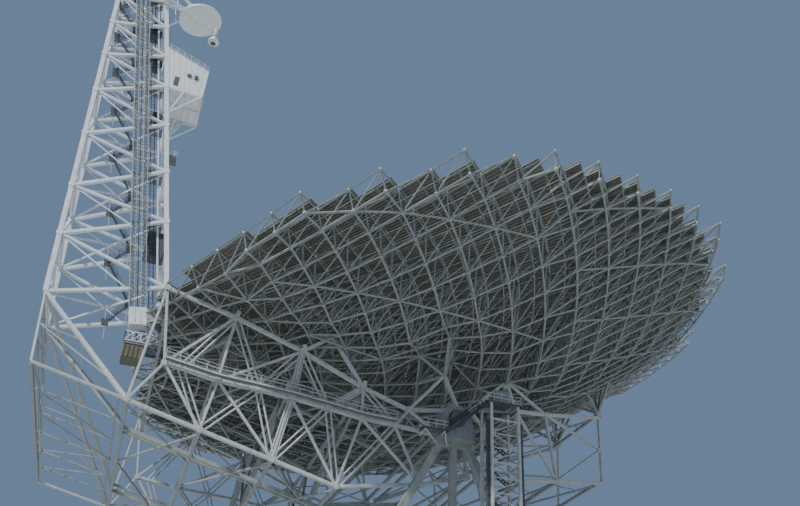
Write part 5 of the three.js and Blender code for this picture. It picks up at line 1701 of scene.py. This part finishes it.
    def subreflector(self) -> None:
        """Makes the subreflector, a shallow dish facing down, with back ribs and its frame."""
        tilt = math.radians(self.dish_tilt_deg)
        axis = np.array([math.sin(tilt), 0.0, math.cos(tilt)])
        level = np.array([math.cos(tilt), 0.0, -math.sin(tilt)])
        centre = np.array(self.dish_centre)
        r = np.linspace(0.02, 1.0, 12) * self.dish_radius
        face = np.stack([r, self.dish_height(r)], axis=1)
        steel = Steelwork().use(CLADDING)
        steel.lathe(np.concatenate([face, face[::-1] + [0, self.dish_skin]]), centre, axis, 56)
        steel.use(WHITE_STEEL)
        s = np.linspace(0.6, 3.9, 6)[:, None]
        for angle in np.radians(np.arange(0, 360, 30)):
            u = level * math.cos(angle) + np.array(ACROSS) * math.sin(angle)
            steel.chain(centre + u * s + axis * (self.dish_height(s) + self.dish_skin + 0.05),
                        box_outline(0.1, 0.22, 0.0), axis)
        steel.piece("subreflector_dish", "subreflector")
        frame = Steelwork().use(WHITE_STEEL)
        seat = centre + axis * (self.dish_depth + self.dish_skin + 0.02)
        top = seat + axis
        frame.rods(seat, top, 0.95, 12)
        hubs = [(top[0], side * 0.6, top[2] - 0.4) for side in (-1, 1)]
        for side, hub in zip((-1, 1), hubs):
            upper, lower = self.inner(139.6, side, 0.2), self.inner(134.0, side, 0.2)
            frame.bars([hub, hub], [upper, lower], 0.42, 0.42, 0.05, UP)
            for t in (0.33, 0.66):
                frame.rods(lerp(hub, upper, t), lerp(hub, lower, t), 0.1)
        frame.bars(*hubs, 0.5, 0.5, 0.05)
        frame.piece("subreflector_frame", "head_frame")

    def boom(self) -> None:
        """Makes the prime-focus boom: a three-chord lattice with a receiver can at its tip."""
        steel = Steelwork().use(WHITE_STEEL)
        y, bays = -4.5, 12
        root, tip = np.array([-52.6, y, 134.36]), np.array([-42.0, y, 129.0])
        up = unit(np.cross(ACROSS, unit(tip - root))) * 0.45
        up = up if up[2] > 0 else -up
        out = np.array([0.0, 0.42, 0.0])
        centre = along_line(root, tip, np.linspace(0, 1, bays + 1))
        chords = [centre + up, centre - up * 0.5 + out, centre - up * 0.5 - out]
        for line in chords:
            steel.rods(line[:-1], line[1:], 0.09)
        for a, b in ((0, 1), (1, 2), (2, 0)):
            steel.rods(chords[a], chords[b], 0.05, 5)
            steel.rods(chords[a][:-1], chords[b][1:], 0.05, 5)
        bracket = self.inner(133.75, -1, -0.3)
        steel.bars((bracket[0], y, bracket[2]), bracket, 0.8, 0.8, 0.06, UP)
        can = np.array([-41.8, y, 127.55])
        steel.use(CLADDING).lathe(CAN_PROFILE, can, UP, 24)
        steel.use(WHITE_STEEL)
        for turn in np.radians([20, 140, 260]):
            spoke = np.array([math.cos(turn), math.sin(turn), 0.0])
            steel.rods(can + spoke * 0.42 - [0, 0, 0.5], can + spoke * 0.3 + [0, 0, 1.6], 0.09)
        steel.drum(can + [0, 0, 1.6], UP, 0.42, 0.3, 14)
        steel.use(DARK_STEEL).lathe(CAN_MOUTH, can, UP, 20)
        steel.piece("prime_focus_lattice", "prime_focus_boom")

    def build(self) -> None:
        """Makes the whole feed arm."""
        for part in (self.build_tower, self.build_pedestal, self.build_lift, self.receiver_room,
                     self.subreflector, self.boom):
            part()


@dataclass
class Alidade:
    """The turning base: A-frames, end frames, cross beams, trucks, bearings, drive, lift tower."""

    corner: float = 22.6
    level: float = 4.6
    frame_y: float = 24.2
    frame_top: float = 44.4
    leg_top: float = 2.0
    frame_levels: tuple[float, ...] = (4.6, 15.5, 25.5, 34.5)
    rail_top: float = 1.303
    truck_half: float = 3.3
    wheel_at: float = 2.1
    wheel_radius: float = 1.06
    bore: float = 1.24
    tower_x: tuple[float, float] = (3.4, 7.4)
    tower_y: tuple[float, float] = (-29.4, -26.2)
    tower_z: tuple[float, float] = (3.6, 47.2)
    tower_bays: int = 21

    def leg_x(self, side: int, z: float) -> float:
        """The x of a leg's centre at a height."""
        climb = (z - self.level) / (self.frame_top - self.level)
        return side * (self.corner + (self.leg_top - self.corner) * climb)

    def a_frame(self) -> list[Bar]:
        """The near A-frame: two legs, a post, cross members and braces.

        Returns:
            Its members.
        """
        y, top, last = -self.frame_y, self.frame_top, self.frame_levels[-1]
        bars = []
        for side in (-1, 1):
            bars.append(Bar((self.leg_x(side, self.level), y, self.level),
                            (self.leg_x(side, top), y, top), 1.5, 1.3))
            for low, high in zip(self.frame_levels, self.frame_levels[1:]):
                bars.append(Bar((0.0, y, low), (self.leg_x(side, high), y, high), 0.8, 1.1))
        for i, z in enumerate(self.frame_levels):
            bars.append(Bar((self.leg_x(-1, z), y, z), (self.leg_x(1, z), y, z), 0.9 if i else 1.6, 1.3))
        return bars + [Bar((0.0, y, last), (0.0, y, top), 1.3, 1.3),
                       Bar((-2.6, y, top), (2.6, y, top), 1.2, 1.3)]

    def end_frame(self, side: int) -> list[Bar]:
        """One end frame between the A-frames: two beams and a zigzag.

        Args:
            side: -1 for the left one, 1 for the right one.

        Returns:
            Its members.
        """
        normal = (1.0, 0.0, 0.48 * side)
        reach, low, high = 23.5, self.level, 11.5
        x0, x1 = self.leg_x(side, low), self.leg_x(side, high)
        bars = [Bar((x0, -reach, low), (x0, reach, low), 1.6, 1.2, normal),
                Bar((x1, -reach, high), (x1, reach, high), 0.9, 0.9, normal)]
        stations = np.linspace(-reach + 0.9, reach - 0.9, 5)
        for i, (a, b) in enumerate(zip(stations, stations[1:])):
            start, end = ((x0, a, low), (x1, b, high)) if i % 2 == 0 else ((x1, a, high), (x0, b, low))
            bars.append(Bar(start, end, 0.7, 0.7, normal))
        return bars

    def truck(self, name: str, sx: int, sy: int) -> None:
        """Makes one corner truck: box frame, spoked wheels, gearboxes and motors.

        Its own axes are `run` along the rail, `out` across it and up.

        Args:
            name: of the CAD node.
            sx: which end of the alidade, -1 or 1.
            sy: which side of it.
        """
        run, up = unit(np.array([-float(sy), float(sx), 0.0])), np.array(UP)
        out = np.array([run[1], -run[0], 0.0])
        middle = np.array([sx * self.corner, sy * self.corner, 0.0])
        length = run * self.truck_half
        steel = Steelwork().use(GREY_STEEL)
        for off in (-0.72, 0.72):
            a = middle + out * off + up * 2.6
            steel.bars(a - length, a + length, 0.3, 1.05, 0.06, up)
        steel.bars(middle + up * 2.85, middle + up * 3.6, 2.5, 2.5, 0.15, run)
        steel.bars(middle - length + up * 2.95, middle + length + up * 2.95, 1.7, 0.2, 0.04, up)
        for place in (-self.wheel_at, self.wheel_at):
            hub = middle + run * place + up * (self.rail_top + self.wheel_radius)
            steel.use(RAIL_STEEL).lathe(WHEEL_PROFILE, hub, out, 32)
            steel.use(GREY_STEEL).drum(hub, out, 0.2, 1.9, 12)
            for off in (-0.92, 0.92):
                steel.drum(hub + out * off, out, 0.38, 0.16, 12)
        steel.drum(hub + out * 1.15 + up * 0.2, out, 0.42, 0.5, 14)
        steel.use(DARK_STEEL).drum(hub + out * 1.2 + up * 0.95, up, 0.3, 0.9, 14)
        steel.piece(f"corner_{name}", name, body=Body.ALIDADE)

    def bearing(self, name: str, side: int) -> None:
        """Makes a pillow-block housing with cap bolts, and the shaft stub that turns in it.

        Args:
            name: near or far.
            side: -1 or 1.
        """
        seat, axis, y = self.frame_top + 0.54, DISH.axis_height, side * self.frame_y
        half = [(2.6, seat), (2.6, seat + 0.9), (2.1, axis + 0.6), (1.5, axis + 1.55),
                (0.75, axis + 1.98)]
        steel = Steelwork().use(GREY_STEEL)
        self._bored(steel, np.array([(-2.6, seat), *half, *[(-x, z) for x, z in half[:0:-1]]]), y, axis)
        ring = [(self.bore + 0.02, -1.52), (1.62, -1.52), (1.62, 1.52), (self.bore + 0.02, 1.52)]
        steel.lathe(np.array(ring), (0.0, y, axis), ACROSS, 32)
        for x in (-2.3, -1.9, 1.9, 2.3):
            for off in (-1.1, 1.1):
                steel.drum((x, y + off, seat + 1.0), UP, 0.12, 0.4, 6)
        steel.piece(f"pillow_block_{name}", f"bearing_housing_{name}", body=Body.ALIDADE)
        inner, outer = TRUSS_Y + 0.503, self.frame_y + 1.9
        profile = [(0.02, inner), (1.19, inner), (1.19, outer - 0.12), (1.1, outer), (0.35, outer),
                   (0.35, outer - 0.15), (0.02, outer - 0.15)]
        shaft = Steelwork().use(RAIL_STEEL)
        shaft.lathe(np.array(profile)[::side] * [1, side], (0.0, 0.0, axis), ACROSS, 40)
        shaft.piece(f"elevation_axle_{name}", f"elevation_shaft_{name}")

    def _bored(self, steel: Steelwork, outline: Array, y: float, axis: float) -> None:
        """A plate with an outer outline and a round bore, three metres thick.

        The outline is resampled by bearing from the bore's centre, so that each outer point
        has its point on the bore: P = centre + R(a) (cos a, sin a), where R(a) is the nearest
        crossing of the ray with an edge of the outline.

        Args:
            steel: takes the faces.
            outline: points (x, z), counter-clockwise seen from -y.
            y: the plate's middle.
            axis: the height of the bore's centre.
        """
        count, half = 48, 1.5
        angles = 2 * math.pi * np.arange(count) / count
        ca, sa = np.cos(angles)[:, None], np.sin(angles)[:, None]
        x, z = outline[:, 0], outline[:, 1] - axis
        dx, dz = np.roll(x, -1) - x, np.roll(z, -1) - z
        cross = ca * dz - sa * dx
        met = np.abs(cross) > 1e-9
        t, s = [np.divide(top, cross, out=np.full(cross.shape, -1.0), where=met)
                for top in (np.broadcast_to(x * dz - z * dx, cross.shape), x * sa - z * ca)]
        hit = met & (t > 0) & (s >= -1e-6) & (s <= 1 + 1e-6)
        reach = np.where(hit, t, np.inf).min(axis=1, keepdims=True)
        spoke = np.concatenate([ca, sa], axis=1)
        inner, outer = [spoke * r + [0.0, axis] for r in (self.bore, reach)]
        grid = [np.stack([ring[:, 0], np.full(count, y + depth), ring[:, 1]], axis=1)
                for depth, ring in ((-half, inner), (-half, outer), (half, outer), (half, inner))]
        j = np.arange(count)
        j2 = (j + 1) % count
        quads = [np.stack([k * count + j, k * count + j2, k2 * count + j2, k2 * count + j], axis=1)
                 for k, k2 in ((0, 1), (1, 2), (2, 3), (3, 0))]
        steel.add(np.stack(grid), np.concatenate(quads)[:, ::-1])

    def lift_tower(self) -> None:
        """Makes the alidade's lift tower: posts, rings, zigzag bracing, shaft columns, stairs."""
        (left, right), (near, far), (bottom, top) = self.tower_x, self.tower_y, self.tower_z
        corners = [(left, near), (right, near), (right, far), (left, far)]
        # The lift tower's steel is greyed as painted shade.
        steel = Steelwork().use(TRUSS_STEEL_PAINTED_SHADE)
        steel.bars([(*c, bottom) for c in corners], [(*c, top) for c in corners], 0.4, 0.4, 0.05, ALONG)
        levels = np.linspace(bottom + 0.3, top - 0.3, self.tower_bays + 1)
        for i, z in enumerate(levels):
            size = 0.24 if i % 3 == 0 else 0.14
            for here, after in zip(corners, corners[1:] + corners[:1]):
                steel.bars((*here, z), (*after, z), size, size, 0.02, UP)
                if i:
                    a, b = (here, after) if i % 2 else (after, here)
                    steel.bars((*a, levels[i - 1]), (*b, z), 0.12, 0.12, normal=UP)
        steel.use(DARK_STEEL)
        for x in (left - 0.42, right + 0.42):
            steel.bars((x, near + 0.3, bottom + 0.3), (x, near + 0.3, top - 0.4), 0.34, 0.5, 0.04, ALONG)
            for z in np.linspace(bottom + 1, top - 1, 22):
                steel.bars((x - 0.25, near + 0.02, z), (x + 0.25, near + 0.02, z), 0.1, 0.1)
        # One flight between each pair of levels, to and fro.
        for i, (low, high) in enumerate(zip(levels[1:-1], levels[2:])):
            a, b = (left + 0.5, right - 0.5) if i % 2 else (right - 0.5, left + 0.5)
            y = near + 0.75 if i % 2 else far - 0.75
            flight(steel, (a, y, low), (b, y, high), 0.35, 8, (0.2, 0.06), (0.05, 0.24))
        steel.use(WHITE_STEEL)
        for x in (left, right):
            steel.bars((x, near, self.level), (x, -self.frame_y - 0.65, self.level), 0.65, 0.65, 0.06, UP)
            steel.bars((x, far, 25.5), (x, -self.frame_y - 0.46, 25.5), 0.38, 0.38, 0.05, UP)
        steel.use(CLADDING).block((left + 0.7, near + 0.5, bottom + 0.5),
                                  (right - 0.7, far - 0.5, bottom + 3.2), 0.08)
        steel.piece("alidade_lift_tower", "lift_tower", body=Body.ALIDADE)

    def access(self) -> None:
        """Makes the stair in front of the near bearing, from a lower landing to the tower's roof.

        The treads stand at equal shares of the flight, one for each 0.2 m of rise.
        """
        low, high, y, half = (-2.0, 45.2), (3.0, 49.5), -26.6, 0.5
        steel = Steelwork().use(DARK_STEEL)
        flight(steel, upright(low, y), upright(high, y), half, 21, (0.42, 0.1), (0.06, 0.26))
        for side in (-half, half):
            handrail(steel, np.array([upright(low, y + side), upright(high, y + side)]), spacing=1.0,
                     radius=0.05)
        for (x0, x1), (y0, y1), z in (((-5.4, -1.9), (-27.2, -25.5), low[1]),
                                      ((2.9, 7.9), (-29.6, -26.0), high[1])):
            slats = np.arange(x0 + 0.1, x1, 0.26)[:, None] * ALONG
            steel.use(STAIR_STEEL).bars(slats + [0, y0, z - 0.06], slats + [0, y1, z - 0.06], 0.1, 0.08,
                                        normal=UP)
            edge = np.array([(x0, y1, z), (x0, y0, z), (x1, y0, z), (x1, y1, z)])
            steel.use(DARK_STEEL).chain(edge - [0, 0, 0.15], box_outline(0.22, 0.08, 0.0))
            steel.use(TRUSS_STEEL_PAINTED_SHADE)
            handrail(steel, edge, spacing=1.1, radius=0.05)
        for x in (-5.0, -2.3):
            steel.bars((x, -27.0, low[1] - 0.25), (x, -self.frame_y - 0.4, low[1] - 0.25), 0.22, 0.26,
                       0.02, UP)
            steel.bars((x, -27.0, low[1] - 0.35), (x * 0.5, -self.frame_y - 0.6, 43.9), 0.18, 0.18, 0.02,
                       ALONG)
        for x in self.tower_x:
            for y in self.tower_y:
                steel.bars((x, y, 47.0), (x, y, high[1] - 0.1), 0.34, 0.34, 0.04, ALONG)
        steel.use(GREY_STEEL).block((4.2, -28.9, high[1] + 0.02), (6.6, -26.9, high[1] + 2.0), 0.1)
        steel.piece("bearing_access_stair", body=Body.ALIDADE)

    def drive(self) -> None:
        """Makes the elevation drive on its braced stand: gear cases with motors each side."""
        foot, top = self.level + 1.203, DISH.axis_height - 30.58
        steel = Steelwork().use(GREY_STEEL)
        steel.block((-1.9, -1.9, foot), (1.9, 1.9, foot + 0.5), 0.15)
        wide, narrow = 1.6, 1.1
        legs = [((sx * wide, sy * wide, foot + 0.2), (sx * narrow, sy * narrow, top - 1.6))
                for sx, sy in RING_OF_CORNERS]
        steel.bars([a for a, _ in legs], [b for _, b in legs], 0.5, 0.5, 0.05, ALONG)
        stages = 3
        for a, b in zip(legs, legs[1:] + legs[:1]):
            for i in range(stages):
                across = lerp(*b, (i + 1) / stages)
                steel.bars([lerp(*a, i / stages), lerp(*a, (i + 1) / stages)], [across] * 2, 0.2, 0.2,
                           0.02, UP)
        steel.block((-1.7, -2.2, top - 2.2), (1.7, 2.2, top - 0.35), 0.2)
        steel.block((-0.8, -1.2, top - 0.4), (0.8, 1.2, top - 0.02), 0.1)
        steel.use(DARK_STEEL)
        for side in (-1, 1):
            steel.drum((0.0, side * 2.0, top - 1.3), ACROSS, 0.55, 0.36, 18)
            steel.drum((1.0, side * 1.4, top - 1.9), ALONG, 0.35, 1.2, 14)
        steel.piece("elevation_drive_stand", "elevation_drive", body=Body.ALIDADE)

    def hub(self) -> None:
        """Makes the cross beams on their pintle bearing, a turned hub with ribs round it."""
        steel = Steelwork().use(WHITE_STEEL)
        inner, reach, radius, bore = 1.6, 21.9, 2.8, 1.2
        for sx, sy in RING_OF_CORNERS:
            steel.prisms((sx * inner, sy * inner, self.level), (sx * reach, sy * reach, self.level),
                         flanged_outline(1.15, 1.55, 0.12, 0.5), UP)
        steel.lathe(np.array([(bore, 2.62), (2.78, 2.62), (radius, 5.1), (2.6, 5.79), (bore, 5.79)]),
                    ORIGIN, UP)
        angles = np.radians(np.arange(0, 360, 15))
        spoke = np.stack([np.cos(angles), np.sin(angles), 0 * angles], axis=1)
        steel.bars(spoke * radius + [0, 0, 2.75], spoke * radius + [0, 0, 4.9], 0.1, 0.34, normal=spoke)
        steel.piece("pintle_hub_beams", "pintle_cross_beams", body=Body.ALIDADE)

    def build(self) -> None:
        """Makes the whole alidade."""
        near = self.a_frame()
        for name, bars, y in (("near", near, -self.frame_y), ("far", mirrored(near), self.frame_y)):
            # The A-frames take the frame steel, darkened as painted shade.
            steel = Lattice(bars, FRAME_STEEL_PAINTED_SHADE, gusset=0.62, slim=0.74, chamfer=0.1).lay(Steelwork())
            steel.block((-2.7, y - 1.5, self.frame_top + 0.3), (2.7, y + 1.5, self.frame_top + 0.56), 0.1)
            steel.piece(f"a_frame_legs_{name}", f"a_frame_{name}", body=Body.ALIDADE)
        for name, side in (("left", -1), ("right", 1)):
            Lattice(self.end_frame(side), gusset=0.62, slim=0.8).piece(
                f"end_frame_lattice_{name}", f"end_frame_{name}", body=Body.ALIDADE)
        for depth, sy in SIDES:
            for end, sx in (("left", -1), ("right", 1)):
                self.truck(f"truck_{depth}_{end}", sx, sy)
        for name, side in SIDES:
            self.bearing(name, side)
        for part in (self.lift_tower, self.access, self.drive, self.hub):
            part()


@dataclass
class ElevationWheel:
    """The wheel under the axis that turns the tipping structure, with its counterweights."""

    rim: float = 30.0
    start: float = -112.0
    end: float = -10.0
    depth: float = 1.8
    under: float = 0.83  # how far the wheel's top chord hangs below the trusses' nodes
    top_nodes: tuple[tuple[float, float], ...] = (
        (-15.1, 37.1), (-3.8, 39.0), (2.6, 40.9), (14.2, 43.8), (22.1, 46.1))
    links: str = "t0-r0 t0-r2 t1-r2 t1-r4 t2-r4 t2-r6 t3-r6 t3-r8 t4-r8 t4-r10 t4-r12"
    teeth: int = 170
    weight_span: tuple[float, float] = (-62.0, -22.0)
    weight_y: tuple[float, float] = (0.91, 4.38)
    boxes: int = 8

    def polar(self, radius: float, degrees: float, y: float = 0.0) -> Point:
        """A point at a radius and bearing from the elevation axis."""
        a = math.radians(degrees)
        return (radius * math.cos(a), y, DISH.axis_height + radius * math.sin(a))

    def arc(self, radius: float, degrees: Array, y: float = 0.0) -> Array:
        """Points of a circle about the elevation axis, one row for each bearing."""
        a = np.radians(degrees)
        return np.stack([radius * np.cos(a), y + 0 * a, DISH.axis_height + radius * np.sin(a)], axis=1)

    def build(self) -> None:
        """Makes the wheel with its toothed rim, then the counterweights."""
        r = [self.polar(self.rim, self.start + (self.end - self.start) * i / 12) for i in range(13)]
        t = [(x, 0.0, z - self.under) for x, z in self.top_nodes]
        links = linked({"t": t, "r": r}, self.links)
        bars = path_bars(t, 0.8, self.depth) + pair_bars(links, 0.7, self.depth)
        steel = Lattice(bars, slim=0.9).lay(Steelwork())
        steel.chain(self.arc(self.rim, np.linspace(self.start, self.end, 61)),
                    box_outline(0.85, self.depth * 0.92, 0.08))
        teeth = np.linspace(self.start + 0.6, self.end - 0.6, self.teeth)
        steel.use(RAIL_STEEL).prisms(self.arc(self.rim + 0.40, teeth), self.arc(self.rim + 0.49, teeth),
                                     flat_outline(0.24, 0.7))
        steel.piece("elevation_wheel_rim", "elevation_wheel")
        for name, side in SIDES:
            self.weights(name, side)

    def weights(self, name: str, side: int) -> None:
        """Makes one counterweight: ballast boxes that follow the rim, with bolted cover plates.

        Args:
            name: near or far.
            side: -1 or 1.
        """
        steel = Steelwork().use(GREY_STEEL)
        y0, y1 = sorted(side * y for y in self.weight_y)
        cover = side * (self.weight_y[1] - 0.05)
        edges = np.linspace(*self.weight_span, self.boxes + 1)
        for a, b in zip(edges + 0.12, edges[1:] - 0.12):
            corners = [self.polar(24.45, a), self.polar(30.1, a), self.polar(30.15, (a + b) / 2),
                       self.polar(30.1, b), self.polar(24.45, b)]
            steel.plate(np.array(corners)[:, ::2], y0 + 0.05, y1 - 0.05)
            ribs = a + (b - a) * np.array([0.25, 0.75])
            steel.bars(self.arc(24.9, ribs, cover + side * 0.01),
                       self.arc(29.7, ribs, cover + side * 0.01), 0.16, 0.12)
        for radius in (24.5, 27.3, 30.0):
            steel.chain(self.arc(radius, np.linspace(*self.weight_span, 17), cover),
                        box_outline(0.24, 0.14, 0.02))
        along = np.linspace(self.weight_span[0] + 0.5, self.weight_span[1] - 0.5, 9)
        core = np.concatenate([self.arc(29.2, along), self.arc(25.2, along[::-1])])
        steel.plate(core[:, ::2], y0 + 0.2, y1 - 0.2)
        steel.piece(f"ballast_boxes_{name}", f"counterweight_{name}")


@dataclass
class GroundWorks:
    """Ring foundation, azimuth rail and the pintle bearing's pedestal."""

    track: float = 31.96
    half_width: float = 2.3
    rail_foot: float = 1.003
    ring_steps: int = 144

    def build(self) -> None:
        """Makes the concrete ring, the rail with its anchor bolts, and the pedestal."""
        w = self.half_width
        half = [(w, 0.0), (w, 0.9), (w - 0.1, 1.0), (1.2, 1.0), (1.1, 0.96), (0.62, 0.96), (0.6, 1.0)]
        profile = np.array(half + [(-r, h) for r, h in reversed(half)])
        ring = Steelwork().use(CONCRETE)
        ring.lathe(profile + [self.track, 0], ORIGIN, UP, self.ring_steps)
        ring.piece("ring_foundation", "track_foundation", body=Body.GROUND)
        half = [(0.44, 0.0), (0.44, 0.07), (0.3, 0.12), (0.3, 0.26), (0.26, 0.3)]
        profile = np.array(half + [(-r, h) for r, h in reversed(half)])
        rail = Steelwork().use(RAIL_STEEL)
        rail.lathe(profile + [self.track, self.rail_foot], ORIGIN, UP, self.ring_steps)
        angles = np.radians(np.arange(0, 360, 3.0))
        spoke = np.stack([np.cos(angles), np.sin(angles), 0 * angles], axis=1)
        for off in (-0.52, 0.52):
            at = spoke * (self.track + off)
            rail.prisms(at + [0, 0, 0.99], at + [0, 0, 1.09], flat_outline(0.3, 0.22), spoke)
            rail.rods(at + [0, 0, 1.05], at + [0, 0, 1.17], 0.06, 6)
        rail.piece("azimuth_rail_ring", "azimuth_rail", body=Body.GROUND)
        plinth = Steelwork().use(CONCRETE)
        profile = [(0.02, 0.0), (3.58, 0.0), (3.58, 2.45), (3.45, 2.59), (1.5, 2.59), (0.02, 2.59)]
        plinth.lathe(np.array(profile), ORIGIN, UP, 72)
        profile = [(0.02, 2.5), (1.09, 2.5), (1.09, 4.72), (1.0, 4.8), (0.02, 4.8)]
        plinth.use(RAIL_STEEL).lathe(np.array(profile), ORIGIN, UP, 40)
        for a in np.radians(np.arange(0, 360, 20)):
            plinth.drum((3.2 * math.cos(a), 3.2 * math.sin(a), 2.62), UP, 0.1, 0.16, 6)
        plinth.piece("pintle_plinth", "pintle_pedestal", body=Body.GROUND)


@dataclass
class Studio:
    """Camera, floor and lights."""

    camera_at: Point = (-39.0, -119.6, 1.7)
    yaw_deg: float = 66.18
    pitch_deg: float = 30.66
    focal_px: float = 813.4
    width_px: int = 800
    axis_px: tuple[float, float] = (474.0, 329.0)
    centre_px: tuple[float, float] = (400.0, 253.0)
    sensor_mm: float = 36.0

    def camera(self) -> None:
        """Sets the camera where the photograph was taken from.

        The lens is f sensor / width, and the shift is the distance of the optical axis from
        the middle of the picture as a share of its width.
        """
        data = bpy.data.cameras.new("camera")
        data.sensor_width = self.sensor_mm
        data.sensor_fit = "HORIZONTAL"
        data.lens = self.focal_px * self.sensor_mm / self.width_px
        data.shift_x = (self.centre_px[0] - self.axis_px[0]) / self.width_px
        data.shift_y = (self.axis_px[1] - self.centre_px[1]) / self.width_px
        data.clip_end = 400.0
        camera = bpy.data.objects.new("camera", data)
        bpy.context.scene.collection.objects.link(camera)
        yaw, pitch = math.radians(self.yaw_deg), math.radians(self.pitch_deg)
        level = math.cos(pitch)
        ahead = Vector((math.cos(yaw) * level, math.sin(yaw) * level, math.sin(pitch)))
        camera.location = Vector(self.camera_at) * METRE
        camera.rotation_euler = ahead.to_track_quat("-Z", "Y").to_euler()
        bpy.context.scene.camera = camera

    def floor(self) -> None:
        """Lays a wide pale floor."""
        size = 150.0
        mesh = bpy.data.meshes.new("floor")
        corners = [(-size, -size, 0.0), (size, -size, 0.0), (size, size, 0.0), (-size, size, 0.0)]
        mesh.from_pydata(corners, [], [(0, 1, 2, 3)])
        floor = bpy.data.objects.new("floor", mesh)
        finish = Finish("matt_studio_floor", "concrete", Pattern.FLOOR, "#bcc0c5", "#b8bcc1", "#b5b9be",
                        0.9, grain_mm=4000.0, bump=0.0)
        mesh.materials.append(finish.material())
        bpy.context.scene.collection.objects.link(floor)

    def lights(self) -> None:
        """A soft key light from the upper left, a weak fill and an even pale surround."""
        for name, power, size, direction in (("key", 4.8, 2.5, (0.62, 0.45, -0.86)),
                                             ("fill", 0.25, 60.0, (-0.7, 0.5, -0.15))):
            data = bpy.data.lights.new(name, "SUN")
            data.energy = power
            data.angle = math.radians(size)
            light = bpy.data.objects.new(name, data)
            light.rotation_euler = Vector(direction).to_track_quat("-Z", "Y").to_euler()
            bpy.context.scene.collection.objects.link(light)
        world = bpy.data.worlds.new("surround")
        bpy.context.scene.world = world
        world.use_nodes = True
        tree = world.node_tree
        tree.nodes.clear()
        glow = add_node(tree, "ShaderNodeBackground", {"Color": linear("#8fadd3"), "Strength": 0.52})
        out = add_node(tree, "ShaderNodeOutputWorld")
        tree.links.new(glow.outputs["Background"], out.inputs["Surface"])

    def build(self) -> None:
        """Sets up the studio."""
        self.camera()
        self.floor()
        self.lights()


def main() -> None:
    """Loads the frame, builds the studio and every sub-assembly, and notes the sizes."""
    logging.basicConfig(level=logging.INFO, format="%(message)s")
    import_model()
    Studio().build()
    for assembly in (GroundWorks(), Alidade(), ElevationWheel(), TippingTrusses(), FeedArm(), BackUpFrame(),
                     SurfacePanels()):
        assembly.build()


if __name__ == "__main__":
    main()
